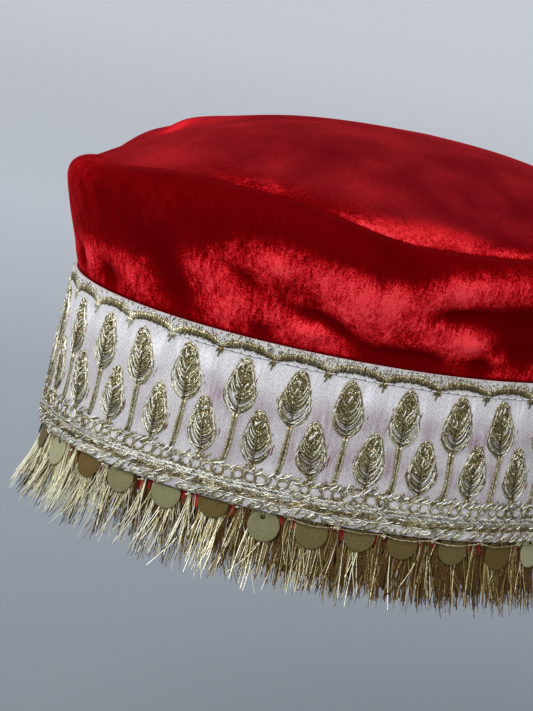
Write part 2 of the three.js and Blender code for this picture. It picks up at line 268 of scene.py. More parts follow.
OVAL_ANGLES = np.linspace(0, 2 * np.pi, 4097)
OVAL_SPEED = np.hypot(HALF_LENGTH * np.sin(OVAL_ANGLES), HALF_WIDTH * np.cos(OVAL_ANGLES))
OVAL_ARC = np.concatenate(
    ([0], np.cumsum((OVAL_SPEED[1:] + OVAL_SPEED[:-1]) / 2 * np.diff(OVAL_ANGLES)))
)
OVAL_LENGTH = OVAL_ARC[-1]


def oval_angle(arc):
    """Angle on the head oval at a length measured along it from the front."""
    return np.interp(np.mod(arc, OVAL_LENGTH), OVAL_ARC, OVAL_ANGLES)


def oval_degrees(arc):
    """The same angle in degrees."""
    return np.degrees(oval_angle(arc))


def open_and_lit_share(arc, work):
    """1 along the open stretch of a kind of work, where the work is looser and painted lighter, 0 away
    from it, by the length along the oval.
    """
    return stretch_round(oval_degrees(arc), OPEN_AND_LIT_MIDDLE, OPEN_AND_LIT_WIDE[work])


def oval_out(angle):
    """Outward direction, square to the head oval, at an angle."""
    out = np.stack(
        (HALF_WIDTH * np.cos(angle), HALF_LENGTH * np.sin(angle), np.zeros_like(angle)), -1
    )
    return unit(out)


def on_oval(arc, grow, height):
    """Point at a length along the oval, with both half sizes grown, at a height; and its outward
    direction."""
    arc, grow, height = np.broadcast_arrays(arc, grow, height)
    angle = oval_angle(arc)
    point = np.stack(
        ((HALF_LENGTH + grow) * np.cos(angle), (HALF_WIDTH + grow) * np.sin(angle), height), -1
    )
    return point, oval_out(angle)


def on_band(arc, height, lift):
    """Point on the band's outer face, which leans in towards the top, raised by lift; and the
    outward direction there."""
    grow = BAND_FLARE * (0.5 - height / BAND_HEIGHT)
    point, out = on_oval(arc, grow, height)
    return point + out * np.asarray(lift)[..., None], out


def shape(points, faces, **values):
    """A loose shape: points, arrays of faces with equal corner counts, and a value per point."""
    points = points.reshape(-1, 3)
    values = {name: np.broadcast_to(v, len(points)) for name, v in values.items()}
    return {"points": points, "faces": faces, "values": values}


def join_shapes(shapes):
    """Several shapes as one, with the corner numbers of each moved past those before it."""
    starts = np.cumsum([0] + [len(s["points"]) for s in shapes])
    faces = [f + start for s, start in zip(shapes, starts) for f in s["faces"]]
    values = {
        name: np.concatenate([s["values"][name] for s in shapes]) for name in shapes[0]["values"]
    }
    return {"points": np.concatenate([s["points"] for s in shapes]), "faces": faces, "values": values}


def threads(path, facing, radius, sides, closed=False, thick=None, **values):
    """Tubes along many paths at once. path is threads x points x 3; round each point stands a ring
    whose spokes turn from the direction square to the path and to facing, with length radius,
    towards facing, with length thick. Open tubes are capped."""
    count, steps, _ = path.shape
    if closed:
        along = np.roll(path, -1, 1) - np.roll(path, 1, 1)
    else:
        along = np.gradient(path, axis=1)
    along = unit(along)
    side = unit(np.cross(along, facing))
    up = np.cross(side, along)
    radius = np.broadcast_to(radius, (count, steps))
    thick = radius if thick is None else np.broadcast_to(thick, (count, steps))
    spoke = (2 * np.pi * np.arange(sides) / sides)[:, None]
    ring = (
        path[:, :, None]
        + np.cos(spoke) * (side * radius[..., None])[:, :, None]
        + np.sin(spoke) * (up * thick[..., None])[:, :, None]
    )
    index = np.arange(count * steps * sides).reshape(count, steps, sides)
    near = index if closed else index[:, :-1]
    far = np.roll(index, -1, 1) if closed else index[:, 1:]
    quads = np.stack((near, far, np.roll(far, -1, 2), np.roll(near, -1, 2)), -1).reshape(-1, 4)
    faces = [quads]
    if not closed:
        faces += [index[:, 0], index[:, -1, ::-1]]
    per_point = {
        name: np.repeat(np.broadcast_to(v, (count, steps)).ravel(), sides)
        for name, v in values.items()
    }
    return shape(ring, faces, **per_point)


def band_threads(arc, height, lift, radius, sides, **options):
    """Threads that lie on the band, from their lengths along it, heights and lifts off it."""
    arc, height, lift = np.broadcast_arrays(arc, height, lift)
    steps = arc.shape[-1]
    path, out = on_band(arc, height, lift)
    options.setdefault("tone", 0.0)
    return threads(path.reshape(-1, steps, 3), out.reshape(-1, steps, 3), radius, sides, **options)


def make_piece(name, parts, material, smooth=True, corner_uv=None):
    """Object at the origin from a shape, with its values as point attributes."""
    corners = np.concatenate([f.ravel() for f in parts["faces"]])
    sizes = np.concatenate([np.full(len(f), f.shape[1]) for f in parts["faces"]])
    mesh = bpy.data.meshes.new(name)
    mesh.vertices.add(len(parts["points"]))
    mesh.vertices.foreach_set("co", parts["points"].astype(np.float32).ravel())
    mesh.loops.add(len(corners))
    mesh.loops.foreach_set("vertex_index", corners.astype(np.int32))
    mesh.polygons.add(len(sizes))
    mesh.polygons.foreach_set("loop_start", (np.cumsum(sizes) - sizes).astype(np.int32))
    mesh.polygons.foreach_set("use_smooth", np.full(len(sizes), smooth))
    mesh.update(calc_edges=True)
    for value_name, value in parts["values"].items():
        attribute = mesh.attributes.new(value_name, "FLOAT", "POINT")
        attribute.data.foreach_set("value", value.astype(np.float32))
    if corner_uv is not None:
        layer = mesh.uv_layers.new(name="UVMap")
        layer.data.foreach_set("uv", corner_uv.astype(np.float32).ravel())
    if mesh.validate():
        raise RuntimeError(f"{name}: the mesh had broken faces")
    piece = bpy.data.objects.new(name, mesh)
    bpy.context.scene.collection.objects.link(piece)
    mesh.materials.append(material)
    return piece


def seat(piece, slot, *nodes):
    """The piece rides on the cap and stands for CAD nodes, which are hidden; the slot is not used."""
    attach(piece, "root")
    if nodes:
        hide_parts(*nodes)
    return piece


# Materials


def new_material(name):
    """A material with a Principled shader, as (material, node tree, shader)."""
    material = bpy.data.materials.new(name)
    material.use_nodes = True
    tree = material.node_tree
    return material, tree, tree.nodes["Principled BSDF"]


def add_node(tree, kind, inputs=None, **options):
    """A node with its options set, and its inputs set to values or linked to sockets."""
    node = tree.nodes.new(kind)
    for option, value in options.items():
        setattr(node, option, value)
    for socket, value in (inputs or {}).items():
        if isinstance(value, bpy.types.NodeSocket):
            tree.links.new(value, node.inputs[socket])
        else:
            node.inputs[socket].default_value = value
    return node


def object_noise(tree, scale, stretch=(1, 1, 1), detail=2.0, roughness=0.5):
    """Noise on Object coordinates, with a scale per metre and a stretch along the axes."""
    place = add_node(tree, "ShaderNodeTexCoord").outputs["Object"]
    moved = add_node(tree, "ShaderNodeMapping", {"Vector": place, "Scale": stretch})
    inputs = {
        "Vector": moved.outputs["Vector"], "Scale": scale, "Detail": detail, "Roughness": roughness,
    }
    return add_node(tree, "ShaderNodeTexNoise", inputs).outputs["Fac"]


def ramp(tree, factor, *stops):
    """Colour ramp through stops (place, colour)."""
    node = add_node(tree, "ShaderNodeValToRGB", {"Fac": factor})
    elements = node.color_ramp.elements
    while len(elements) < len(stops):
        elements.new(0.5)
    for element, (place, colour) in zip(elements, stops):
        element.position = place
        element.color = (*colour[:3], 1)
    return node.outputs["Color"]


def math_node(tree, operation, a, b=0.0, c=0.0, clamp=False):
    """Arithmetic on numbers or sockets."""
    inputs = {0: a, 1: b, 2: c}
    return add_node(tree, "ShaderNodeMath", inputs, operation=operation, use_clamp=clamp).outputs[0]


def remap(tree, value, low, high, to_low, to_high):
    """A value carried from one range to another, held at its ends."""
    inputs = {"Value": value, "From Min": low, "From Max": high, "To Min": to_low, "To Max": to_high}
    return add_node(tree, "ShaderNodeMapRange", inputs).outputs["Result"]


def mix_colour(tree, factor, a, b, blend="MIX"):
    """Two colours mixed by a factor."""
    node = add_node(tree, "ShaderNodeMix", data_type="RGBA", blend_type=blend)
    for socket, value in zip((node.inputs[0], node.inputs[6], node.inputs[7]), (factor, a, b)):
        if isinstance(value, bpy.types.NodeSocket):
            tree.links.new(value, socket)
        elif socket.type == "RGBA":
            socket.default_value = (*value[:3], 1)
        else:
            socket.default_value = value
    return node.outputs[2]


def attribute_value(tree, name):
    """A point attribute of the piece."""
    return add_node(tree, "ShaderNodeAttribute", attribute_name=name).outputs["Fac"]


def bump(tree, shader, height, strength, distance):
    """Relief from a height, on the shader's Normal."""
    inputs = {"Height": height, "Strength": strength, "Distance": distance}
    node = add_node(tree, "ShaderNodeBump", inputs)
    tree.links.new(node.outputs["Normal"], shader.inputs["Normal"])


def velvet_material(crown):
    """Crushed velvet, by an attribute of painted light and shade: painted shade, dark and even, where
    the wall lies in shade, and painted light, bright, grainy and blotched, where it is lit, with ragged
    streaks where the two meet and painted glints on the top. An attribute of painted sheen dulls the
    top, where the pile is seen from its side."""
    material, tree, shader = new_material("crushed_velvet")
    nap = attribute_value(tree, "nap")
    haze = attribute_value(tree, "haze")
    streak = object_noise(tree, 850, (1, 1, 0.25), 3.0, 0.6)
    grain = object_noise(tree, crown.pile_scale, (1, 1, 0.5), 1.0)
    calm = remap(tree, haze, 0, 1, 1.0, 0.25)
    wild = math_node(tree, "MULTIPLY", remap(tree, nap, 0.16, 0.40, 0.10, 1.0), calm)
    cloud = object_noise(tree, 38, (1, 1, 1), 2.0)
    blotch = math_node(tree, "MULTIPLY", remap(tree, cloud, 0.3, 0.7, -0.12, 0.12), haze)
    crush = object_noise(tree, 170, (1, 1, 0.6), 2.0)
    crushed = math_node(tree, "MULTIPLY_ADD", remap(tree, crush, 0.35, 0.65, -0.13, 0.13), wild, nap)
    ragged = math_node(tree, "MULTIPLY_ADD", remap(tree, streak, 0.3, 0.7, -0.26, 0.26), wild, crushed)
    lit = math_node(tree, "MULTIPLY_ADD", remap(tree, grain, 0.3, 0.7, -0.30, 0.30), wild, ragged)
    # Painted glints, scattered over the top where the painted sheen lies
    spark = remap(tree, grain, 0.56, 0.70, 0.0, 0.42)
    glint = math_node(tree, "MULTIPLY", spark, remap(tree, cloud, 0.50, 0.62, 0.0, 1.0))
    lit = math_node(tree, "ADD", lit, math_node(tree, "MULTIPLY_ADD", glint, haze, blotch))
    pile = ramp(
        tree, lit, (0.0, crown.velvet_crease_shade), (0.17, crown.velvet_dark), (0.40, crown.velvet_mid),
        (0.58, crown.velvet_lit), (0.80, crown.velvet_bright), (1.0, crown.velvet_shine),
    )
    # Painted sheen: the top's colour in shade and in light
    film = ramp(
        tree, lit, (0.10, crown.haze_dark), (0.50, crown.haze_light), (0.74, crown.velvet_lit),
        (1.0, crown.velvet_bright),
    )
    tree.links.new(mix_colour(tree, haze, pile, film), shader.inputs["Base Color"])
    shader.inputs["Roughness"].default_value = 0.8
    shader.inputs["Specular IOR Level"].default_value = 0.0
    shader.inputs["Sheen Weight"].default_value = 0.26
    shader.inputs["Sheen Roughness"].default_value = 0.3
    shader.inputs["Sheen Tint"].default_value = (*crown.velvet_shine, 1)
    bump(tree, shader, grain, 0.35, 0.3 * MM)
    return material


def satin_material(band):
    """Satin with a fine uneven diagonal weave, lighter in streaks by the gleam attribute of painted
    highlights, and tinted in streaks by the attribute of dye and painted shade, where dye shows and
    shade falls beside the stitching."""
    material, tree, shader = new_material("band_satin")
    place = add_node(tree, "ShaderNodeUVMap", uv_map="UVMap").outputs["UV"]
    turned = add_node(
        tree, "ShaderNodeMapping", {"Vector": place, "Rotation": (0, 0, math.radians(-58))}
    )
    across = {"Vector": turned.outputs["Vector"], "Detail": 2.0}
    waves = {**across, "Scale": 0.31 / band.weave_pitch, "Distortion": 2.0}
    weave = add_node(tree, "ShaderNodeTexWave", waves).outputs["Fac"]
    specks = {**across, "Scale": 1.2 / band.weave_pitch}
    speck = add_node(tree, "ShaderNodeTexNoise", specks).outputs["Fac"]
    cloud = object_noise(tree, 90, (1, 1, 1), 3.0)
    streak = object_noise(tree, 800, (1, 1, 0.12), 2.0)
    uneven = remap(tree, cloud, 0.35, 0.65, 0.4, 1.2)
    patch = math_node(tree, "MULTIPLY", attribute_value(tree, "blush"), uneven)
    dye_and_shade_mask = math_node(tree, "MULTIPLY", patch, remap(tree, streak, 0.35, 0.65, 0.35, 1.3), clamp=True)
    plain = mix_colour(tree, remap(tree, cloud, 0.35, 0.65, 0, 1), band.satin, band.satin_shade)
    caught = math_node(tree, "MULTIPLY", attribute_value(tree, "gleam"), uneven)
    gleam = math_node(tree, "MULTIPLY", caught, remap(tree, streak, 0.35, 0.65, 0.5, 1.4), clamp=True)
    shone = mix_colour(tree, gleam, plain, band.satin_light)
    tinted = mix_colour(tree, dye_and_shade_mask, shone, band.blush)
    hollow = remap(tree, weave, 0.1, 0.9, 0.0, 0.44)
    ribbed = mix_colour(tree, hollow, tinted, band.weave_shade, "MULTIPLY")
    flecked = ramp(tree, speck, (0.32, (0.72, 0.72, 0.74)), (0.62, (1.0, 1.0, 1.0)))
    tree.links.new(mix_colour(tree, 1.0, ribbed, flecked, "MULTIPLY"), shader.inputs["Base Color"])
    shader.inputs["Roughness"].default_value = 0.55
    shader.inputs["Specular IOR Level"].default_value = 0.35
    shader.inputs["Sheen Weight"].default_value = 0.15
    bump(tree, shader, weave, 0.25, 0.15 * MM)
    return material


def thread_material(name, dark, middle, light, roughness, metallic, specular=0.5):
    """Metallic thread: dark, middle and light tones, for thread in shade and in light, as painted
    shade and painted glints in fine flecks, moved by the tone attribute, with the winding of the foil
    as relief."""
    material, tree, shader = new_material(name)
    fleck = object_noise(tree, 1700, (1, 1, 1), 3.0, 0.65)
    winding = object_noise(tree, 2600, (1, 1, 1), 1.0)
    spread = remap(tree, fleck, 0.32, 0.68, 0.0, 1.0)
    toned = math_node(tree, "ADD", spread, attribute_value(tree, "tone"), clamp=True)
    colour = ramp(tree, toned, (0.0, dark), (0.5, middle), (1.0, light))
    tree.links.new(colour, shader.inputs["Base Color"])
    shader.inputs["Metallic"].default_value = metallic
    shader.inputs["Specular IOR Level"].default_value = specular
    uneven = remap(tree, winding, 0.3, 0.7, roughness - 0.1, roughness + 0.12)
    tree.links.new(uneven, shader.inputs["Roughness"])
    bump(tree, shader, winding, 0.3, 0.15 * MM)
    return material


def plain_thread_material(name, colour, roughness=0.7):
    """Spun thread: one dye with a slight unevenness."""
    material, tree, shader = new_material(name)
    fleck = object_noise(tree, 1500, (1, 1, 1), 2.0)
    darker = tuple(0.6 * c for c in colour)
    tree.links.new(ramp(tree, fleck, (0.3, darker), (0.65, colour)), shader.inputs["Base Color"])
    shader.inputs["Roughness"].default_value = roughness
    bump(tree, shader, fleck, 0.3, 0.1 * MM)
    return material


def sequin_material(sequins):
    """Satin foil, a different shade on each sequin as a painted reflection, with a fine grain."""
    material, tree, shader = new_material("sequin_foil")
    grain = object_noise(tree, 2200, (1, 1, 1), 2.0)
    shade = ramp(
        tree, attribute_value(tree, "shade"), (0.1, sequins.foil_dark), (0.42, sequins.foil_middle),
        (1.0, sequins.foil_light),
    )
    speck = ramp(tree, grain, (0.3, (0.72, 0.72, 0.72)), (0.7, (1.15, 1.15, 1.15)))
    tree.links.new(mix_colour(tree, 1.0, shade, speck, "MULTIPLY"), shader.inputs["Base Color"])
    shader.inputs["Metallic"].default_value = 0.2
    shader.inputs["Roughness"].default_value = 0.58
    shader.inputs["Specular IOR Level"].default_value = 0.12
    bump(tree, shader, grain, 0.25, 0.1 * MM)
    return material


def stage_material(stage):
    """Pale paper with painted shade: darkest under the cap and lighter away from it."""
    material, tree, shader = new_material("pale_floor")
    place = add_node(tree, "ShaderNodeTexCoord").outputs["Object"]
    far = add_node(tree, "ShaderNodeVectorMath", {0: place}, operation="LENGTH").outputs["Value"]
    near_far = ramp(
        tree, remap(tree, far, 0.3, stage.floor_radius, 0, 1), (0.0, stage.floor_near),
        (0.27, stage.floor_middle), (0.50, stage.floor_beyond), (1.0, stage.floor_far),
    )
    tree.links.new(near_far, shader.inputs["Base Color"])
    shader.inputs["Roughness"].default_value = 0.9
    shader.inputs["Specular IOR Level"].default_value = 0.1
    return material


# Settings


def length_property(name, millimetres, description):
    """A length, given in millimetres and kept in metres."""
    return FloatProperty(
        name=name, description=description, default=millimetres * MM, unit="LENGTH", subtype="DISTANCE"
    )


def colour_property(name, colour, description):
    """A linear colour."""
    return FloatVectorProperty(
        name=name, description=description, default=colour, subtype="COLOR", size=3, min=0.0, max=1.0
    )


def angle_property(name, degrees, description):
    """An angle, given in degrees and kept in radians."""
    return FloatProperty(
        name=name, description=description, default=math.radians(degrees), unit="ROTATION",
        subtype="ANGLE",
    )


class CrownSettings(bpy.types.PropertyGroup):
    """Velvet crown."""

    columns: IntProperty(name="Columns", description="Points round the crown", default=360)
    wall_rows: IntProperty(name="Wall rows", description="Rows from the band to the ridge", default=52)
    top_rows: IntProperty(name="Top rows", description="Rows from the ridge to the peak", default=40)
    wall: length_property("Cloth", 2.0, "Thickness of the lined velvet")
    fine_folds: IntProperty(name="Fine folds", description="Number of small creases", default=90)
    fine_depth: length_property("Fine depth", 0.5, "Usual depth of a small crease")
    pile_scale: FloatProperty(name="Pile", description="Grain of the pile per metre", default=3000.0)
    # Lit and shaded copies of the velvet's red, picked by the painted light attribute: painted shade at
    # the bottom of creases and on the dark wall, painted light where the wall is lit, and a painted
    # glint, which is also the tint of the shader's sheen
    velvet_crease_shade: colour_property("Crease", (0.100, 0.0002, 0.0008), "Bottom of a crease")
    velvet_dark: colour_property("Dark", (0.114, 0.0003, 0.0014), "Pile that lies away")
    velvet_mid: colour_property("Middle", (0.240, 0.0018, 0.0032), "Pile seen from the side")
    velvet_lit: colour_property("Lit", (0.465, 0.0066, 0.0108), "Pile that stands to the light")
    velvet_bright: colour_property("Bright", (0.650, 0.0180, 0.0262), "Pile in full light")
    velvet_shine: colour_property("Shine", (0.850, 0.0500, 0.0620), "Glint of the pile")
    # Painted sheen of the top: its colour in shade and in light
    haze_dark: colour_property("Haze dark", (0.132, 0.0022, 0.0045), "Top in shade")
    haze_light: colour_property("Haze light", (0.300, 0.0100, 0.0150), "Top in light")


class BandSettings(bpy.types.PropertyGroup):
    """Satin band."""

    columns: IntProperty(name="Columns", description="Points round the band", default=360)
    rows: IntProperty(name="Rows", description="Rows up the outer face", default=40)
    weave_pitch: length_property("Weave", 0.72, "Pitch of the diagonal weave")
    pucker: length_property("Pucker", 0.22, "Rise of the satin between the leaves")
    seam_depth: length_property("Seam", 0.40, "Depth of the groove under the top stitching")
    satin: colour_property("Satin", (0.70, 0.695, 0.69), "Cloth")
    satin_shade: colour_property("Satin shade", (0.54, 0.52, 0.53), "Cloth in its duller patches")
    satin_light: colour_property("Satin light", (0.95, 0.955, 0.98), "Cloth that catches the light")
    weave_shade: colour_property("Weave shade", (0.62, 0.58, 0.60), "Hollows of the weave")
    # Tint of the dye that shows through, which also serves as painted shade beside the embroidery
    blush: colour_property("Blush", (0.36, 0.23, 0.285), "Dye that shows through")


class EmbroiderySettings(bpy.types.PropertyGroup):
    """Metallic thread work on the band."""

    repeats: IntProperty(name="Repeats", description="Leaf pairs round the band", default=30)
    first: length_property("First leaf", 421.8, "Length along the oval to a tall leaf")
    tall_base: length_property("Tall base", 31.3, "Height of a tall leaf's base")
    tall_length: length_property("Tall length", 19.9, "Length of a tall leaf")
    tall_width: length_property("Tall width", 11.4, "Width of a tall leaf")
    short_base: length_property("Short base", 15.6, "Height of a short leaf's base")
    short_length: length_property("Short length", 19.0, "Length of a short leaf")
    short_width: length_property("Short width", 10.6, "Width of a short leaf")
    vein_radius: length_property("Vein", 0.31, "Half thickness of a vein thread")
    veins: IntProperty(name="Veins", description="Veins on each side of a leaf", default=7)
    knots: IntProperty(name="Knots", description="Short stitches filling a leaf", default=84)
    stitch_pitch: length_property("Stitch pitch", 0.40, "Step between the stitches of the arches")
    arch_drop: length_property("Arch drop", 2.9, "Arch below the band's edge at its middle")
    cusp_drop: length_property("Cusp drop", 5.0, "Arch below the band's edge at its ends")
    spike_tip: length_property("Spike tip", 48.65, "Height of the spike under each cusp")
    seam_drop: length_property("Seam drop", 5.7, "Top stitching below the band's edge")
    stem_gap: length_property("Stem gap", 0.55, "Cords of a stem from its middle")
    stem_radius: length_property("Stem cord", 0.46, "Half thickness of a stem's cord")
    gold_dark: colour_property("Gold dark", (0.150, 0.118, 0.048), "Thread in shade")
    gold: colour_property("Gold", (0.385, 0.318, 0.150), "Thread")
    gold_light: colour_property("Gold light", (0.950, 0.920, 0.700), "Thread in light")
    pale_dark: colour_property("Pale dark", (0.240, 0.215, 0.130), "Pale thread in shade")
    pale: colour_property("Pale", (0.680, 0.665, 0.550), "Pale thread")
    pale_light: colour_property("Pale light", (1.000, 1.000, 0.960), "Pale thread in light")
    needle_dye: colour_property("Needle dye", (0.200, 0.012, 0.035), "Dyed thread at the needle holes")
    hole_shade: colour_property("Hole shade", (0.300, 0.285, 0.275), "Needle holes of the top stitching")
    white_thread: colour_property("White thread", (0.86, 0.86, 0.89), "Top stitching")


class SequinSettings(bpy.types.PropertyGroup):
    """Sequins."""

    radius: length_property("Radius", 5.7, "Half width of a sequin")
    wall: length_property("Wall", 0.4, "Thickness of a sequin")
    hole_radius: length_property("Hole", 0.8, "Half width of the hole")
    hole_up: length_property("Hole height", 3.0, "Hole above the middle")
    sides: IntProperty(name="Sides", description="Points round a sequin", default=30)
    foil_dark: colour_property("Foil dark", (0.112, 0.070, 0.017), "Darkest sequin")
    foil_middle: colour_property("Foil middle", (0.212, 0.204, 0.106), "Sequin of a middle shade")
    foil_light: colour_property("Foil light", (0.355, 0.342, 0.200), "Lightest sequin")


class FringeSettings(bpy.types.PropertyGroup):
    """Thread fringe."""

    locks: IntProperty(name="Locks", description="Locks in a tuft", default=6)
    inner_strands: IntProperty(name="Inner strands", description="Strands of an inner lock", default=5)
    outer_strands: IntProperty(name="Outer strands", description="Strands of an outer lock", default=9)
    curtain: IntProperty(name="Curtain", description="Short flat strands behind the locks", default=1900)
    backing: IntProperty(name="Backing", description="Flat strands behind the hem", default=1000)
    strays: IntProperty(name="Strays", description="Single strands that cross the fringe", default=240)
    radius: length_property("Strand", 0.14, "Half thickness of a strand")
    length: length_property("Length", 26.5, "Usual length below the band")
    inset: length_property("Inset", 2.0, "Sewing line inside the band's face")
    root_height: length_property("Root", 2.4, "Height of the sewing line")
    shade_dark: colour_property("Shade dark", (0.074, 0.039, 0.010), "Inner strand in shade")
    shade: colour_property("Shade", (0.165, 0.099, 0.031), "Inner strand")
    shade_light: colour_property("Shade light", (0.450, 0.350, 0.130), "Inner strand in light")
    straw_dark: colour_property("Straw dark", (0.230, 0.170, 0.070), "Outer strand in shade")
    straw: colour_property("Straw", (0.580, 0.510, 0.240), "Outer strand")
    straw_light: colour_property("Straw light", (1.000, 0.980, 0.780), "Outer strand in light")


class StageSettings(bpy.types.PropertyGroup):
    """Floor, lights and camera."""

    floor_drop: length_property("Floor", 210.0, "Floor below the band's lower edge")
    floor_radius: length_property("Floor radius", 3200.0, "Level part of the floor")
    wall_height: length_property("Backdrop", 1500.0, "Height of the rising rim of the floor")
    # Painted shade on the floor: darkest under the cap, lighter towards the rim
    floor_near: colour_property("Floor near", (0.24, 0.27, 0.30), "Floor under the cap")
    floor_middle: colour_property("Floor middle", (0.42, 0.455, 0.50), "Floor a metre away")
    floor_beyond: colour_property("Floor beyond", (0.73, 0.76, 0.80), "Floor two metres away")
    floor_far: colour_property("Floor far", (0.95, 0.96, 0.98), "Floor at its rim")
    azimuth: angle_property("Azimuth", 266.199, "Camera round the cap, from the front")
    elevation: angle_property("Elevation", 11.242, "Camera above the horizon")
    roll: angle_property("Roll", 11.469, "Turn of the picture")
    distance: length_property("Distance", 1200.0, "Camera from the middle of the opening")
    aim_right: length_property("Aim right", -16.44, "Middle of the picture, to the right")
    aim_up: length_property("Aim up", 40.27, "Middle of the picture, upwards")
    lens: FloatProperty(name="Lens", description="Focal length on a 36 mm frame", default=163.9)


class CapSettings(bpy.types.PropertyGroup):
    """All settings of the cap."""

    crown: PointerProperty(type=CrownSettings)
    band: PointerProperty(type=BandSettings)
    embroidery: PointerProperty(type=EmbroiderySettings)
    sequins: PointerProperty(type=SequinSettings)
    fringe: PointerProperty(type=FringeSettings)
    stage: PointerProperty(type=StageSettings)


# Crown


def fold_depth(degrees, share):
    """Sum of the table's folds, each a Gaussian in height and, along its slant, in angle."""
    rise = share[..., None] - FOLDS["up"]
    turn = turn_between(degrees[..., None], FOLDS["at"]) - FOLDS["slant"] * rise
    bell = np.exp(-((turn / FOLDS["wide"]) ** 2) - (rise / FOLDS["reach"]) ** 2)
    return np.sum(FOLDS["deep"] * bell, -1) * MM


def fine_fold_depth(degrees, share, crown):
    """Sum of small slanting creases, each a Gaussian at a seeded place, faded out at the band."""
    random = np.random.default_rng(SEED)
    count = crown.fine_folds
    at = random.uniform(0, 360, count)
    up = random.uniform(0.05, 0.85, count)
    wide = random.uniform(1.4, 4.0, count)
    reach = random.uniform(0.06, 0.18, count)
    slant = random.uniform(-22, 22, count)
    deep = random.normal(0, crown.fine_depth, count)
    rise = share[..., None] - up
    turn = turn_between(degrees[..., None], at) - slant * rise
    depth = np.sum(deep * np.exp(-((turn / wide) ** 2) - (rise / reach) ** 2), -1)
    return smoothstep(share, 0.03, 0.10) * depth


def dent_height(x, y):
    """Sum of the soft humps of the top."""
    reach = ((x[..., None] / MM - TOP_DENTS["x"]) ** 2 + (y[..., None] / MM - TOP_DENTS["y"]) ** 2)
    return np.sum(TOP_DENTS["deep"] * np.exp(-reach / TOP_DENTS["wide"] ** 2), -1) * MM


def crown_rows(crown):
    """Rows of the outer face from hem to ridge and on to the peak, as points, painted light and
    painted sheen. The wall is the band's oval grown by the swell and the folds, up to the ridge's
    height; the top shrinks the oval by keep and rises as 1 - keep ** DOME_POWER. The painted light
    grows where the tables paint the pile lit and on folds that stand out, with painted shade in the
    dents, and the painted sheen covers the top."""
    angle = np.linspace(0, 2 * np.pi, crown.columns, endpoint=False)[None]
    degrees = np.degrees(angle)
    ridge = round_curve(degrees, RIDGE["at"], RIDGE["rise"] * MM)
    face = -BAND_FLARE / 2

    def ring(grow, height, keep=1.0):
        grow, height = np.broadcast_arrays(grow * np.ones_like(angle), height)
        x = (HALF_LENGTH + grow) * keep * np.cos(angle)
        y = (HALF_WIDTH + grow) * keep * np.sin(angle)
        return np.stack((x, y, height), -1)

    hidden = [
        ring(face - HEM_INSET, np.full((1, 1), z)) for z in (-HEM_DROP, -HEM_DROP / 2, HEM_TOP)
    ]
    hidden.append(ring(face - BAND_WALL - GAP, np.full((1, 1), BAND_HEIGHT)))
    # Painted light on the hem, so that it looks lit between the tufts; painted shade on the row behind
    # the band's top
    hidden_nap = np.array((1.0, 1.0, 1.0, 0.05))[:, None] * np.ones_like(angle)

    climb = np.linspace(0, 1, crown.wall_rows)[:, None]
    share = WALL_SECTIONS["share"][0] + (1 - WALL_SECTIONS["share"][0]) * (1 - (1 - climb) ** 1.7)
    swell = smooth_curve(share, WALL_SECTIONS["share"], WALL_SECTIONS["swell"]) * MM
    share, degrees_wall = np.broadcast_arrays(share, degrees)
    fold = fold_depth(degrees_wall, share)
    fine = fine_fold_depth(degrees_wall, share, crown) * smoothstep(1 - share, 0.0, 0.15)
    held = smoothstep(share, 0.02, 0.12)
    wall = ring(face + swell + (fold + fine) * held, BAND_HEIGHT + share * ridge)
    shine_top = round_curve(degrees, SHINE_TOP["at"], SHINE_TOP["share"])
    strength = round_curve(degrees, SHINE_TOP["at"], SHINE_TOP["strength"])
    shine = strength * (1 - smoothstep(share, shine_top - 0.13, shine_top + 0.05))
    # Painted light on the wall: lit below the shine table's upper end, with painted shade in the dents of
    # the folds and painted light on their bulges
    wall_nap = 0.17 + 0.48 * shine + (0.30 * fold + 0.28 * fine) / MM * (0.20 + 0.80 * shine)
    # Painted light along the end of the wall round 187 degrees
    end_light = bell(degrees, 187, 17)
    wall_nap += 0.16 * end_light * smoothstep(share, 0.1, 0.3)
    behind = smoothstep(np.sin(angle), 0.0, 0.4)
    wall_haze = behind * smoothstep(share, 0.78, 0.90)
    # Painted light from the sheen at the back, and painted shade along the foot of the wall at the band
    wall_nap += 0.24 * wall_haze - 0.06 * (1 - smoothstep(share, 0.03, 0.06))

    keep = 1 - np.linspace(0, 1, crown.top_rows + 1)[1:-1, None] ** 1.25
    keep, degrees_top = np.broadcast_arrays(keep, degrees)
    rise = RIDGE_MEAN + (ridge - RIDGE_MEAN) * keep**RIDGE_FADE + DOME_RISE * (1 - keep**DOME_POWER)
    top = ring(face + WALL_SECTIONS["swell"][-1] * MM, BAND_HEIGHT + rise, keep)
    top[..., 0] += DOME_SHIFT * (1 - keep**2)
    top[..., 2] += dent_height(top[..., 0], top[..., 1]) * smoothstep(1 - keep, 0, 0.08)
    # Painted highlights and a faint painted shade on the top, by the TOP_SHINE table
    turn = turn_between(degrees_top[..., None], TOP_SHINE["at"]) / TOP_SHINE["wide"]
    out = (keep[..., None] - TOP_SHINE["keep"]) / TOP_SHINE["reach"]
    top_nap = 0.20 + np.sum(TOP_SHINE["strength"] * np.exp(-((turn**2 + out**2) ** 1.5)), -1)
    peak_height = BAND_HEIGHT + RIDGE_MEAN + DOME_RISE
    peak = np.array((DOME_SHIFT, 0, peak_height + dent_height(np.array(DOME_SHIFT), np.array(0.0))))
    # Painted sheen over the top, on the back and along the open stretch
    sheen_spread = np.maximum(behind, stretch_round(degrees, OPEN_AND_LIT_MIDDLE, OPEN_AND_LIT_WIDE["top"]))
    top_haze = np.maximum(smoothstep(1 - keep, 0.0, 0.16), sheen_spread)
    rows = np.concatenate(hidden + [wall, top])
    nap = np.concatenate((hidden_nap, wall_nap, top_nap))
    haze = np.concatenate((0 * hidden_nap, wall_haze, top_haze))
    return rows, peak, nap, haze


def grid_normals(rows):
    """Outward direction at each point of rows that are closed round."""
    around = np.roll(rows, -1, 1) - np.roll(rows, 1, 1)
    upwards = np.gradient(rows, axis=0)
    return unit(np.cross(around, upwards))


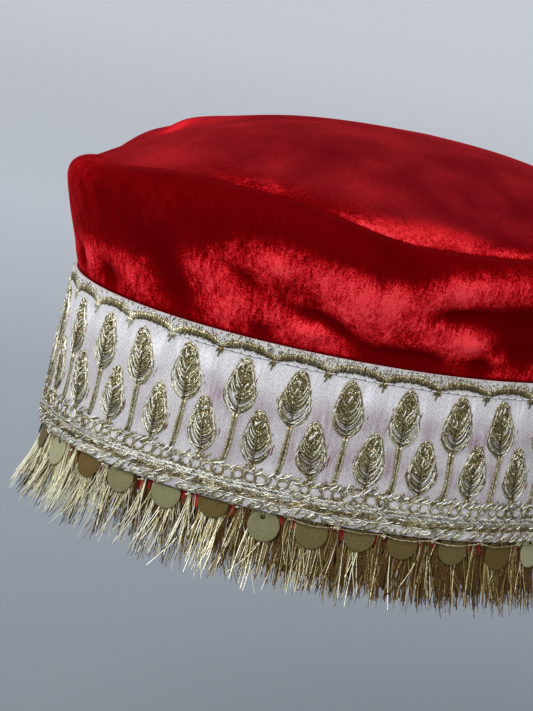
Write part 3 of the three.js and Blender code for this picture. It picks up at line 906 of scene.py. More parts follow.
def crown_shape(crown):
    """Closed cloth: the outer face, every second row of it moved in by the cloth's thickness, a
    fan of triangles at each peak and a strip that joins both faces at the hem."""
    rows, peak, nap, haze = crown_rows(crown)
    normals = grid_normals(rows)
    normals[:3, :, 2] = 0
    inner_rows = np.unique(np.concatenate((np.arange(0, len(rows), 2), [len(rows) - 1])))
    inner = (rows - crown.wall * unit(normals))[inner_rows]
    outer_count = rows[..., 0].size
    outer_index = np.arange(outer_count).reshape(rows.shape[:2])
    inner_index = np.arange(inner[..., 0].size).reshape(inner.shape[:2]) + outer_count + 1

    def strips(low, high):
        return np.stack((low, np.roll(low, -1, -1), np.roll(high, -1, -1), high), -1).reshape(-1, 4)

    def fan(ring, tip):
        return np.stack((ring, np.roll(ring, -1), np.full_like(ring, tip)), -1)

    tip = outer_count
    inner_tip = outer_count + 1 + inner[..., 0].size
    faces = [
        strips(outer_index[:-1], outer_index[1:]),
        strips(inner_index[1:], inner_index[:-1]),
        strips(inner_index[0], outer_index[0]),
        fan(outer_index[-1], tip),
        fan(inner_index[-1], inner_tip)[:, ::-1],
    ]
    inner_peak = peak - (0, 0, crown.wall)
    points = np.concatenate((rows.reshape(-1, 3), peak[None], inner.reshape(-1, 3), inner_peak[None]))
    inner_nap = np.full(inner[..., 0].size + 1, 0.25)
    whole_nap = np.concatenate((nap.ravel(), nap[-1:, 0], inner_nap))
    whole_haze = np.concatenate((haze.ravel(), haze[-1:, 0], 0 * inner_nap))
    return shape(points, faces, nap=whole_nap, haze=whole_haze)


# Band


def leaf_phase(arc, embroidery):
    """Place within a repeat, from -0.5 to 0.5, with 0 at the middle of a tall leaf."""
    repeat = OVAL_LENGTH / embroidery.repeats
    return np.mod((arc - embroidery.first) / repeat + 0.5, 1) - 0.5


def band_blush(arc, height, embroidery):
    """Strength of the dye that shows, and of painted shade beside the embroidery: soft patches on both
    sides of each tall leaf, and beside the stems and the lower leaves, stronger at some leaves than at
    others, over a faint tint; weaker along the open stretch, where the light falls."""
    phase = leaf_phase(arc, embroidery)
    repeat = np.floor((arc - embroidery.first) / OVAL_LENGTH * embroidery.repeats + 0.5)
    strength = 0.6 + 0.4 * np.sin(repeat * 2.4 + 1.1) * np.sign(phase)
    beside = bell(np.abs(phase), 0.42, 0.15)
    upper = bell(height, 37 * MM, 6 * MM)
    near_stem = bell(np.abs(phase), 0.14, 0.09)
    lower = 0.75 * bell(height, 24 * MM, 8 * MM) * near_stem
    faint = 0.20 * smoothstep(46 * MM - height, 0.0, 15 * MM)
    shown = 1 - 0.55 * open_and_lit_share(arc, "satin")
    return shown * (strength * (beside * upper + lower) + faint)


def band_gleam(arc, height, embroidery):
    """Strength of the light that the satin catches: below the arches on both sides of each tall leaf,
    within the rings of the border, and all over the open stretch."""
    beside = 0.5 - 0.5 * np.cos(4 * np.pi * leaf_phase(arc, embroidery))
    under_arches = bell(height, 46.5 * MM, 5.5 * MM) * (0.35 + 0.45 * beside)
    rings = 0.60 * bell(height, 10.8 * MM, 1.4 * MM)
    return under_arches + rings + 0.15 * open_and_lit_share(arc, "satin")


def band_shape(band, embroidery):
    """Closed band: a section of outer face, rounded upper edge, inner face and rounded lower edge,
    carried round the oval. The outer face is raised between the leaves and sinks at the seam, except
    along the open stretch."""
    arc = np.linspace(0, OVAL_LENGTH, band.columns, endpoint=False)
    edge = BAND_WALL / 2
    height = np.linspace(edge, BAND_HEIGHT - edge, band.rows)
    turn = np.linspace(0, np.pi, 7)[1:-1]
    top_lean = -BAND_FLARE / 2 - edge
    low_lean = BAND_FLARE / 2 - edge
    face = BAND_FLARE * (0.5 - height / BAND_HEIGHT)
    inner_height = np.linspace(BAND_HEIGHT - edge, edge, 6)
    inner_face = BAND_FLARE * (0.5 - inner_height / BAND_HEIGHT) - BAND_WALL
    grow = np.concatenate(
        (face, top_lean + edge * np.cos(turn), inner_face, low_lean - edge * np.cos(turn))
    )
    z = np.concatenate(
        (height, BAND_HEIGHT - edge + edge * np.sin(turn), inner_height, edge - edge * np.sin(turn))
    )
    phase = leaf_phase(arc, embroidery)[None]
    rows = height[:, None]
    seam = BAND_HEIGHT - embroidery.seam_drop
    climb = np.clip((rows - 16 * MM) / (34 * MM), 0, 1)
    puff = np.sin(np.pi * climb) * (1 - np.cos(4 * np.pi * phase)) / 2
    groove = bell(rows, seam, 1.1 * MM) * (1 - open_and_lit_share(arc, "seam")[None])
    relief = np.zeros((len(z), band.columns))
    relief[: band.rows] = band.pucker * puff - band.seam_depth * groove
    points, _ = on_oval(arc[None], grow[:, None] + relief, z[:, None])
    blush = np.zeros((len(z), band.columns))
    blush[: band.rows] = band_blush(arc[None], rows, embroidery)
    gleam = np.zeros((len(z), band.columns))
    gleam[: band.rows] = band_gleam(arc[None], rows, embroidery)
    index = np.arange(points[..., 0].size).reshape(points.shape[:2])
    above = np.roll(index, -1, 0)
    quads = np.stack((index, np.roll(index, -1, 1), np.roll(above, -1, 1), above), -1)
    parts = shape(points, [quads.reshape(-1, 4)], blush=blush.ravel(), gleam=gleam.ravel())
    return parts, band_uv(len(z), band.columns)


def band_uv(rows, columns):
    """Lengths along and up the band at each corner of its faces, without a jump at the seam."""
    across = np.arange(columns) / columns * OVAL_LENGTH
    step = OVAL_LENGTH / columns
    up = np.arange(rows) * BAND_HEIGHT / rows
    rise = BAND_HEIGHT / rows
    u = np.stack((across, across + step, across + step, across), -1)[None] * np.ones((rows, 1, 1))
    v = np.stack((up, up, up + rise, up + rise), -1)[:, None] * np.ones((1, columns, 1))
    return np.stack((u, v), -1)


# Embroidery


def leaf_half_width(share):
    """Half width of a leaf over its greatest, at a share of its length, by the outline's table."""
    return np.maximum(smooth_curve(share, LEAF_OUTLINE["share"], LEAF_OUTLINE["half"]), 0)


def leaf_place(across, along, leaf):
    """Place on the band of a point of a leaf, given across its midrib and along it."""
    extra = (1,) * (across.ndim - 1)
    centre = leaf["centre"].reshape(-1, *extra)
    lean = leaf["lean"].reshape(-1, *extra)
    arc = centre + across * np.cos(lean) + along * np.sin(lean)
    return arc, leaf["base"] + along * np.cos(lean) - across * np.sin(lean)


def leaf_shapes(centre, base, length, width, embroidery, seed):
    """All leaves of one row, as gold parts and pale parts. A padding covers each leaf above its base
    and darkens towards its point; over it lie two outlines, strands that leave the midrib on both
    sides, pale as a painted highlight on the side that faces the light, and bend up along the
    outline, a dark strand beside each as a painted shadow, the midrib, short crossing stitches, a
    loop at the point and glints. The thread is lighter along the open stretch, as painted light."""
    random = np.random.default_rng(seed)
    count = len(centre)
    half = width / 2 * random.uniform(0.94, 1.05, (count, 1))
    radius = embroidery.vein_radius
    lean = random.normal(math.radians(-2.5), math.radians(2.5), count)
    leaf = {"centre": centre, "base": base, "lean": lean}
    gold, pale = [], []

    def lay(parts, across, along, lift, thickness, sides, **options):
        across, along, lift = np.broadcast_arrays(across, along, lift)
        arc, height = leaf_place(across, along, leaf)
        parts.append(band_threads(arc, height, lift, thickness, sides, **options))

    each = np.ones((count, 1))
    # Painted light: lighter thread along the open stretch
    lit_lightening = 0.24 * open_and_lit_share(centre, "leaves")[:, None]
    pad = np.linspace(0.24, 0.95, 12)
    pad_half = np.maximum(0.93 * leaf_half_width(pad) * smoothstep(pad, 0.14, 0.48), 0.03) * half
    pad_thick = (0.22 + 0.30 * smoothstep(pad, 0.2, 0.5)) * MM
    pad_tone = 0.05 - 0.42 * smoothstep(pad, 0.22, 0.50) + lit_lightening
    lay(gold, 0 * pad * each, pad * length * each, 0.0, pad_half, 12, thick=pad_thick, tone=pad_tone)

    lap = np.linspace(0, 2 * np.pi, 44, endpoint=False)
    share = (1 - np.cos(lap)) / 2
    edge = np.sign(np.pi - lap) * leaf_half_width(share) * half
    for parts, shrink, rise, tone in ((gold, 1.0, 0.8, -0.15), (pale, 0.90, 1.5, -0.15)):
        stitch = np.sin(15 * lap + random.uniform(0, 6, (count, 1)))
        wobble = shrink + 0.03 * np.sin(3 * lap + random.uniform(0, 6, (count, 1))) + 0.04 * stitch
        along = length * (0.5 + (share - 0.5) * shrink) * each
        broken = tone + 0.25 * np.sin(5 * lap + random.uniform(0, 6, (count, 1))) + 0.42 * stitch + lit_lightening
        lay(parts, edge * wobble, along, rise * radius, radius, 4, closed=True, tone=broken)

    run = np.linspace(0, 1, 7)
    number = (np.arange(embroidery.veins) / (embroidery.veins - 1))[:, None]
    lit_side = np.where(oval_degrees(centre) > LIT_SIDE_TURN, 1.0, -1.0)[:, None, None]
    for side, climb, parts in ((lit_side, 0.46, pale), (-lit_side, 0.34, gold)):
        start = 0.54 * number - 0.02 + random.normal(0, 0.015, (count, embroidery.veins, 1))
        end = np.minimum(start + climb * (1 - 0.3 * number) + random.normal(0, 0.03, start.shape), 0.96)
        reach = leaf_half_width(end) * half[..., None] * random.uniform(0.84, 0.98, start.shape)
        across = side * reach * np.sin(run * np.pi / 2) ** 0.9
        bend = 0.45 * run + 0.55 * (1 - np.cos(run * np.pi / 2))
        arch = np.sin(np.pi * np.clip(run + 0.1, 0, 1))
        # Each strand, and a dark gold strand beside it as its painted shadow
        layers = ((parts, 0.0, 0.9, 1.3, 0.0), (gold, 0.038, 0.8, 0.9, -0.42))
        for into, shift, thick, rise, tone in layers:
            along = (start + shift + (end - start) * bend) * length
            lift = radius * (1.0 + rise * arch)
            tones = (random.normal(tone, 0.20, start.shape) + 0.6 * lit_lightening[..., None]).reshape(-1, 1)
            lay(into, across, along, lift, thick * radius, 3, tone=tones)

    rib = np.linspace(-0.02, 0.72, 9)
    bend = 0.25 * MM * np.sin(rib * 5 + random.uniform(0, 6, (count, 1)))
    lay(gold, bend, rib * length * each, radius * 2.4, radius, 5, tone=-0.35)

    knots = embroidery.knots
    middle = 0.30 + 0.65 * random.uniform(0, 1, (count, knots, 1)) ** 0.8
    offset = random.uniform(-0.86, 0.86, (count, knots, 1)) * leaf_half_width(middle) * half[..., None]
    tilt = np.sign(offset) * math.radians(38) + random.normal(0, 0.6, offset.shape)
    stitch = random.uniform(0.40, 0.95, offset.shape) * MM * np.array((-1, 0, 1))
    rise = (0.45 + 0.42 * random.uniform(0, 1, offset.shape)) * MM * np.array((0.4, 1.1, 0.4))
    across = offset + stitch * np.sin(tilt)
    along = middle * length + stitch * np.cos(tilt)
    tone = (random.normal(-0.14, 0.45, offset.shape) + lit_lightening[..., None]).reshape(-1, 1)
    lay(gold, across, along, rise + 0.1 * MM, 0.25 * MM, 3, tone=tone)

    loop = np.linspace(0, 2 * np.pi, 10, endpoint=False)
    tip = 1.15 * MM * random.uniform(0.5, 1.05, (count, 1))
    top = length - tip + tip * np.sin(loop)
    lay(gold, 0.85 * tip * np.cos(loop), top, 0.65 * MM, 0.28 * MM, 4, closed=True, tone=0.25)

    step = np.linspace(-1, 1, 6)
    slope = random.normal(0.35, 0.25, (count, 3, 1))
    reach = random.uniform(0.5, 1.5, slope.shape) * MM
    across = random.normal(0.0, 0.22, slope.shape) * half[..., None] + reach * step * np.sin(slope)
    along = random.uniform(0.50, 0.86, slope.shape) * length + reach * step * np.cos(slope)
    lay(pale, across, along, (1.15 - 0.35 * step**2) * MM, 0.21 * MM, 4, tone=0.40)
    return gold, pale


def stem_shapes(centre, low, high, foot, embroidery, seed):
    """Two cords side by side from the border up to a leaf, with a dark thread between them, swaying
    a little and drifting sideways by foot at the lower end."""
    random = np.random.default_rng(seed)
    count = len(centre)
    run = np.linspace(0, 1, 10)
    start = random.uniform(0, 6, (count, 1, 1))
    side = np.array((-1.0, 0.0, 1.0))[:, None]
    drift = foot * (1 - run) ** 6 + 0.25 * MM * np.sin(run * 4 + start)
    apart = side * embroidery.stem_gap * (1 + 0.2 * np.sin(9 * run + start))
    arc = centre[:, None, None] + drift + apart
    height = low + (high - low) * run + 0 * arc
    lift = (0.30 + 0.12 * (1 - np.abs(side))) * MM
    radius = embroidery.stem_radius * np.tile((1.0, 0.45, 1.0), count)[:, None]
    tone = np.tile((0.02, -0.5, 0.10), count)[:, None]
    return [band_threads(arc, height, lift, radius, 5, tone=tone)]


def needle_shapes(centre, base, length, width, seed):
    """Short dyed stitches along the edges of each leaf, where the needle went through."""
    random = np.random.default_rng(seed)
    shown = 4
    share = random.uniform(0.18, 0.66, (len(centre), shown, 1))
    side = np.where(random.uniform(0, 1, share.shape) < 0.7, 1.0, -1.0)
    across = side * (leaf_half_width(share) * width / 2 + random.uniform(0.30, 0.7, share.shape) * MM)
    run = np.array((-1, -0.3, 0.3, 1)) * random.uniform(0.4, 1.7, share.shape) * MM
    arc = centre[:, None, None] + across + 0.15 * run
    height = base + share * length + run
    lift = np.array((-0.1, 0.08, 0.08, -0.1)) * MM + 0 * arc
    return [band_threads(arc, height, lift, 0.22 * MM, 4)]


def row_centres(embroidery, shift):
    """Lengths along the oval to the leaves of a row, shifted by a share of the repeat."""
    return embroidery.first + (np.arange(embroidery.repeats) + shift) * OVAL_LENGTH / embroidery.repeats


def arch_line(arc, embroidery):
    """Height of the arches' middle line: highest over a tall leaf, lowest at the cusps."""
    far = 2 * np.abs(leaf_phase(arc, embroidery))
    drop = embroidery.arch_drop + (embroidery.cusp_drop - embroidery.arch_drop) * far**2.4
    return BAND_HEIGHT - drop, far


def fleck_shapes(count, tone, embroidery, seed):
    """Short stitches strewn between the arches and the band's upper edge, few of them along the open
    stretch."""
    random = np.random.default_rng(seed)
    at = random.uniform(0, OVAL_LENGTH, (count, 1))
    bare = 0.80 * open_and_lit_share(at[:, 0], "flecks")
    at = at[random.uniform(0, 1, count) > bare]
    count = len(at)
    line, _ = arch_line(at, embroidery)
    low = line + 0.6 * MM
    place = low + (BAND_HEIGHT - 0.3 * MM - low) * random.uniform(0, 1, (count, 1))
    angle = random.normal(0, 0.5, (count, 1))
    step = np.array((-1.0, 0.0, 1.0)) * random.uniform(0.25, 0.65, (count, 1)) * MM
    rise = np.array((-0.05, 0.22, -0.05)) * MM
    arc = at + step * np.sin(angle)
    tones = random.normal(tone, 0.28, (count, 1))
    return band_threads(arc, place + step * np.cos(angle), rise, 0.17 * MM, 3, tone=tones)


def arch_shapes(embroidery):
    """Satin stitch: upright stitches side by side along the arches, each raised a little in its
    middle, with painted shade below and painted light above, dark flecks over them and a forked spike
    under each cusp. Along the open stretch the cusps and spikes are paler as painted light, and the
    spikes thicker."""
    random = np.random.default_rng(SEED + 1)
    count = round(OVAL_LENGTH / embroidery.stitch_pitch)
    arc = (np.arange(count) + random.normal(0, 0.12, count)) * OVAL_LENGTH / count
    middle, far = arch_line(arc, embroidery)
    tall = (2.8 - 0.7 * far**4 + random.normal(0, 0.34, count)) * MM
    run = np.linspace(0, 1, 4)
    slant = random.normal(0, 0.12, (count, 1)) * MM
    height = middle[:, None] + tall[:, None] * (run - 0.5)
    lift = (0.04 + 0.16 * np.sin(np.pi * run) ** 0.7) * MM
    open_and_lit = open_and_lit_share(arc, "arches")
    cusps = (0.35 * far**4 + 0.45 * open_and_lit * far**2.5)[:, None]
    tone = -0.42 + 0.40 * run**2.4 + cusps + random.normal(0, 0.16, (count, 1))
    tone = tone + 0.12 * open_and_lit[:, None]
    stitches = band_threads(arc[:, None] + slant * run, height, lift, 0.25 * MM, 3, tone=tone)

    cusp = row_centres(embroidery, 0.5)[:, None, None]
    top = BAND_HEIGHT - embroidery.cusp_drop - 0.6 * MM
    fork = table("root tip fall", (-0.5, -1.7, 0.50), (0.0, -0.7, 1.0), (0.4, 0.7, 0.55))
    run = np.linspace(0, 1, 6)
    stray = random.normal(0, 0.25, (len(cusp), 3, 1))
    side = fork["root"][:, None] + (fork["tip"] - fork["root"])[:, None] * run + stray * run
    fall = (top - embroidery.spike_tip) * fork["fall"][:, None] * run
    lift = 0.3 * MM * (1 - 0.6 * run)
    open_and_lit = open_and_lit_share(cusp + 0 * side, "spikes").reshape(-1, run.size)
    radius = (0.60 - 0.42 * run) * MM * (1 + 0.40 * open_and_lit)
    tone = -0.40 + 0.85 * open_and_lit
    spikes = band_threads(cusp + side * MM, top - fall, lift, radius, 5, tone=tone)
    return [stitches, fleck_shapes(1500, -0.40, embroidery, SEED + 25), spikes]


def seam_stitches(embroidery):
    """White running stitch below the arches, each stitch dipping into the cloth at its ends; and
    the dark needle holes between them, joined by the fine shadow line of the seam. All of it is sunk
    into the cloth along the open stretch."""
    count = 172
    pitch = OVAL_LENGTH / count
    seam = BAND_HEIGHT - embroidery.seam_drop
    run = np.linspace(-1, 1, 7)
    arc = (np.arange(count) * pitch)[:, None] + run * pitch * 0.42
    far = 2 * np.abs(leaf_phase(arc, embroidery))
    lift = (0.16 - 0.40 * run**4 + 0.40 * far**6 - 0.55 * open_and_lit_share(arc, "seam")) * MM
    wander = 0.12 * MM * np.sin(np.arange(count) * 1.9)[:, None]
    stitches = band_threads(arc, seam + wander + 0 * arc, lift, 0.24 * MM, 5)
    hole = (np.arange(count) * pitch + pitch / 2)[:, None] + np.array((-0.45, 0.0, 0.45)) * MM
    depth = -0.40 * MM * open_and_lit_share(hole, "seam")
    holes = band_threads(hole, seam - 0.10 * MM, depth, 0.22 * MM, 5)
    shadow = rope_row(seam - 0.42 * MM, 0.05 * MM, -0.25 * MM, SEED + 26, wander=0.02, sink=0.30 * MM)
    return stitches, join_shapes([holes, shadow])


def loop_row(count, height, wide, tall, tilt, radius, tone, seed):
    """A row of separate loops, each an ellipse turned by tilt, uneven in place, size and tone, each
    lighter on the same side as a painted highlight, and lighter along the open stretch as painted
    light."""
    random = np.random.default_rng(seed)
    lap = np.linspace(0, 2 * np.pi, 14, endpoint=False)
    centre = (np.arange(count) + 0.5 + random.normal(0, 0.09, count))[:, None] * OVAL_LENGTH / count
    x = wide * MM * (1 + random.normal(0, 0.12, (count, 1))) * np.cos(lap)
    y = tall * MM * (1 + random.normal(0, 0.12, (count, 1))) * np.sin(lap)
    turn = math.radians(tilt) + random.normal(0, 0.20, (count, 1))
    z = height * MM + random.normal(0, 0.18, (count, 1)) * MM + x * np.sin(turn) + y * np.cos(turn)
    lift = (0.40 + 0.20 * np.sin(lap + random.uniform(0, 6, (count, 1)))) * MM
    # Painted highlight on the same side of every loop, and painted light along the open stretch
    tones = random.normal(tone, 0.18, (count, 1)) + 0.18 * np.sin(lap + 0.9)
    tones = tones + 0.16 * open_and_lit_share(centre, "loops")
    arc = centre + x * np.cos(turn) - y * np.sin(turn)
    return band_threads(arc, z, lift, radius * MM, 4, closed=True, tone=tones)


def slanting_row(row, seed):
    """A row of short slanting stitches by the table, with seeded strays in place, length and tone;
    those above the rings are thinned out on one side of the cap."""
    random = np.random.default_rng(seed)
    count = int(row["count"])
    at = (np.arange(count) + random.uniform(-0.35, 0.35, count))[:, None] * OVAL_LENGTH / count
    if row["height"] > RINGS_TOP:
        dense = 0.45 + 0.55 * smoothstep(oval_degrees(at[:, 0]), DENSE_FROM, DENSE_TO)
        at = at[random.uniform(0, 1, count) < dense]
        count = len(at)
    angle = math.radians(row["slope"]) + random.normal(0, 0.25, (count, 1))
    step = np.array((-1, -0.35, 0.35, 1)) * row["reach"] * random.uniform(0.6, 1.2, (count, 1)) * MM
    z = (row["height"] + random.normal(0, row["spread"], (count, 1))) * MM + step * np.sin(angle)
    lift = (0.35 + np.array((0, 0.40, 0.40, 0)) + random.uniform(0, 0.3, (count, 1))) * MM
    tone = random.normal(row["tone"], 0.25, (count, 1))
    return band_threads(at + step * np.cos(angle), z, lift, row["radius"] * MM, 4, tone=tone)


def waver(random, run, size, waves):
    """Sum of a few seeded waves round the band, by the share run of the way round."""
    return sum(
        random.normal(0, size) * np.sin(2 * np.pi * round(n) * run + random.uniform(0, 6)) for n in waves
    )


def rope_row(height, radius, lift, seed, wander=0.07, sink=0.0):
    """A thread laid along the band, with a slight wander up and down, lower by sink along the open
    stretch."""
    random = np.random.default_rng(seed)
    steps = 420
    run = np.arange(steps) / steps
    arc = run * OVAL_LENGTH
    sway = waver(random, run, wander, np.linspace(9, 97, 9))
    lift = lift - sink * open_and_lit_share(arc, "seam")
    return band_threads(arc[None], (height + sway * MM)[None], lift, radius, 5, closed=True, tone=0.1)


def scallop_row(count, height, rise, radius, tone, seed):
    """A thread laid in shallow arches along the band, each as wide as a ring below it."""
    random = np.random.default_rng(seed)
    steps = count * 6
    run = np.arange(steps) / steps
    arch = np.abs(np.sin(np.pi * count * run)) * (1 + np.repeat(random.normal(0, 0.25, count), 6))
    tones = np.repeat(random.normal(tone, 0.25, count), 6)
    z = (height + rise * arch + np.repeat(random.normal(0, 0.12, count), 6)) * MM
    arc = run * OVAL_LENGTH
    return band_threads(arc[None], z[None], 0.55 * MM, radius * MM, 4, closed=True, tone=tones)


def twisted_cord(height, radius, twists, seed):
    """Two plies that wind round each other along the band, with a slight wander up and down, thinner
    and darker where they are worn."""
    random = np.random.default_rng(seed)
    steps = twists * 7
    run = np.arange(steps) / steps
    wind = 2 * np.pi * twists * run + np.array((0, np.pi))[:, None]
    sway = waver(random, run, 0.08, np.linspace(9, 61, 7))
    z = (height + sway) * MM + 0.8 * radius * MM * np.cos(wind)
    lift = (0.42 + 0.8 * radius * np.sin(wind)) * MM
    arc = run * OVAL_LENGTH
    degrees = oval_degrees(arc)
    worn = np.max([much * stretch_round(degrees, at, wide) for at, wide, much in WORN_CORDS], 0)
    tone = random.normal(0.16, 0.18, (2, steps)) - 0.18 * worn
    thick = radius * (1 - 0.25 * worn) * MM
    return band_threads(arc, z, lift, thick, 3, closed=True, tone=tone)


def border_shapes():
    """Lower border in gold: rings with arches over them, flat loops below the cords and over the
    edge, and rows of slanting stitches."""
    loops = [
        loop_row(150, 10.75, 2.00, 1.68, 20, 0.33, -0.04, SEED + 6),
        scallop_row(150, 12.1, 0.95, 0.29, 0.00, SEED + 31),
        loop_row(118, 5.0, 2.5, 0.95, 8, 0.28, -0.10, SEED + 7),
        loop_row(118, 5.0, 1.5, 0.45, 8, 0.32, -0.34, SEED + 7),
        loop_row(88, 1.75, 2.6, 1.0, 18, 0.25, -0.12, SEED + 12),
    ]
    rows = BORDER_STITCHES[BORDER_STITCHES["tone"] < 0.2]
    return loops + [slanting_row(row, SEED + 40 + n) for n, row in enumerate(rows)]


def pale_border_shapes():
    """Lower border in pale thread: two twisted cords, a thin line, fillings of the flat loops, and
    the bright rows of slanting stitches."""
    cords = [
        twisted_cord(8.0, 0.42, 150, SEED + 9),
        twisted_cord(6.75, 0.40, 160, SEED + 10),
        rope_row(3.5 * MM, 0.28 * MM, 0.35 * MM, SEED + 11),
        loop_row(88, 1.75, 1.7, 0.50, 18, 0.28, 0.0, SEED + 12),
    ]
    rows = BORDER_STITCHES[BORDER_STITCHES["tone"] > 0.2]
    return cords + [slanting_row(row, SEED + 60 + n) for n, row in enumerate(rows)]


def sequin_arcs():
    """Lengths along the oval to the sequins, in order, and to the gaps after them."""
    middle = np.array([(low + high) / 2 for low, high in (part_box(name) for name in SEQUIN_NODES)])
    turn = np.mod(np.arctan2(middle[:, 1] / HALF_WIDTH, middle[:, 0] / HALF_LENGTH), 2 * np.pi)
    arc = np.sort(np.interp(turn, OVAL_ANGLES, OVAL_ARC))
    after = np.append(arc[1:], arc[0] + OVAL_LENGTH)
    return arc, (arc + after) / 2


def edge_shapes():
    """Loose thread under the band's edge, caught between the sequins and sagging across them on one
    side of the cap, drawn up behind the edge elsewhere, with a few knotted stitches."""
    random = np.random.default_rng(SEED + 27)
    _, gap = sequin_arcs()
    count = len(gap)
    span = np.append(gap[1:], gap[0] + OVAL_LENGTH) - gap
    run = np.linspace(0, 1, 10, endpoint=False)
    arc = gap[:, None] + span[:, None] * run
    sag = random.uniform(0.5, 1.3, (count, 1)) * np.sin(np.pi * run) ** 0.8
    loose = smoothstep(oval_degrees(arc), SAG_FROM, SAG_TO)
    z = (1.2 - loose * (1.7 + sag) + random.normal(0, 0.08, sag.shape)) * MM
    lift = (-0.15 + 0.12 * np.sin(2 * np.pi * run) - 1.9 * (1 - loose)) * MM
    thread = band_threads(arc.reshape(1, -1), z.reshape(1, -1), lift.reshape(1, -1), 0.24 * MM, 5,
                          closed=True, tone=0.0)
    knots = (count, 6, 1)
    angle = random.uniform(-1.2, 1.2, knots)
    step = np.array((-1, -0.4, 0.4, 1)) * random.uniform(0.3, 0.7, knots) * MM
    at = gap[:, None, None] + random.normal(0, 0.7, knots) * MM + step * np.cos(angle)
    low = (-0.7 + random.normal(0, 0.4, knots)) * MM + step * np.sin(angle)
    rise = (-0.2 + np.array((-0.2, 0.2, 0.2, -0.2))) * MM + 0 * at
    tone = random.normal(0.15, 0.3, knots).reshape(-1, 1)
    return [thread, band_threads(at, low, rise, 0.27 * MM, 4, tone=tone)]


# Sequins


def sequin_shapes(sequins):
    """Discs with a hole above the middle: rows run from the hole to the rim, as a mix of the two
    circles, over the rim, back to the hole and through it. Each hangs where its CAD node hangs,
    pushed out at its lower end where the fringe flares."""
    boxes = [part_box(name) for name in SEQUIN_NODES]
    centre = np.array([(low + high) / 2 for low, high in boxes])
    count = len(centre)
    angle = np.arctan2(centre[:, 1] / HALF_WIDTH, centre[:, 0] / HALF_LENGTH)
    out = oval_out(angle)
    along = np.stack((-out[:, 1], out[:, 0], 0 * angle), -1)
    level = np.array((0, 0, math.cos(SEQUIN_TILT))) - out * math.sin(SEQUIN_TILT)
    flare = round_curve(np.degrees(angle), FRINGE_LOOK["at"], FRINGE_LOOK["flare"])
    tilt = SEQUIN_TILT + np.radians(40) * np.maximum(flare - 1, 0)[:, None]
    upright = np.array((0, 0, 1.0)) * np.cos(tilt) - out * np.sin(tilt)
    centre = centre + (level - upright) * sequins.hole_up
    facing = np.cross(along, upright)
    turn = np.radians(np.resize(SEQUIN_TURNS, count))[:, None]
    right = along * np.cos(turn) + upright * np.sin(turn)
    up = upright * np.cos(turn) - along * np.sin(turn)

    lap = np.linspace(0, 2 * np.pi, sequins.sides, endpoint=False)
    half = sequins.wall / 2
    mix = np.array((0, 0.06, 0.5, 0.94, 1, 1, 0.94, 0.5, 0.06, 0))[:, None]
    raised = np.array((0.55, 1, 1, 1, 0.5, -0.5, -1, -1, -1, -0.55))[:, None] * half
    hole_x = sequins.hole_radius * np.cos(lap)
    hole_y = sequins.hole_up + sequins.hole_radius * np.sin(lap)
    x = hole_x + (sequins.radius * np.cos(lap) - hole_x) * mix
    y = hole_y + (sequins.radius * np.sin(lap) - hole_y) * mix
    points = (
        centre[:, None, None]
        + x[None, ..., None] * right[:, None, None]
        + y[None, ..., None] * up[:, None, None]
        + raised[None, ..., None] * facing[:, None, None]
    )
    index = np.arange(points[..., 0].size).reshape(points.shape[:3])
    after = np.roll(index, -1, 1)
    quads = np.stack((index, after, np.roll(after, -1, 2), np.roll(index, -1, 2)), -1).reshape(-1, 4)
    # Painted reflection: each sequin lighter or darker by the table
    shade = np.repeat(np.resize(SEQUIN_REFLECTIONS, count), points[0, ..., 0].size)
    hole = centre + up * sequins.hole_up + facing * (half + 0.1 * MM)
    return shape(points, [quads], shade=shade), hole, out


def sequin_threads(hole, out):
    """Thread of each sequin: from behind the band's edge down to the hole and through it."""
    rise = np.array((4.2, 2.4, 0.8, 0.0, -0.3))[None, :, None] * MM * np.array((0, 0, 1.0))
    lean = np.array((-0.5, 0.0, 0.30, 0.15, -0.7))[None, :, None] * MM * out[:, None]
    path = hole[:, None] + rise + lean
    side = np.broadcast_to(out[:, None], path.shape)
    return threads(path, side, 0.22 * MM, 5)


# Fringe


def bunched(root):
    """Lengths along the oval drawn together behind the sequins and into a narrow tuft between them,
    which leaves a slit on both sides of each tuft."""
    _, gap = sequin_arcs()
    count = len(gap)
    places = np.concatenate((gap - OVAL_LENGTH, gap, gap + OVAL_LENGTH))
    number = np.interp(np.mod(root, OVAL_LENGTH), places, np.arange(3 * count))
    step = np.array((0, 0.135, 0.155, 0.845, 0.865, 1))
    moved = np.interp(np.mod(number, 1), step, (0, 0.040, 0.190, 0.810, 0.960, 1))
    return np.interp(np.floor(number) + moved, np.arange(3 * count), places)


def bright_share(root):
    """Share of bright strands that the table gives for the angle of each root, as painted light: many
    where the light falls, few in the shade.
    """
    return round_curve(oval_degrees(root), FRINGE_LOOK["at"], FRINGE_LOOK["bright"])


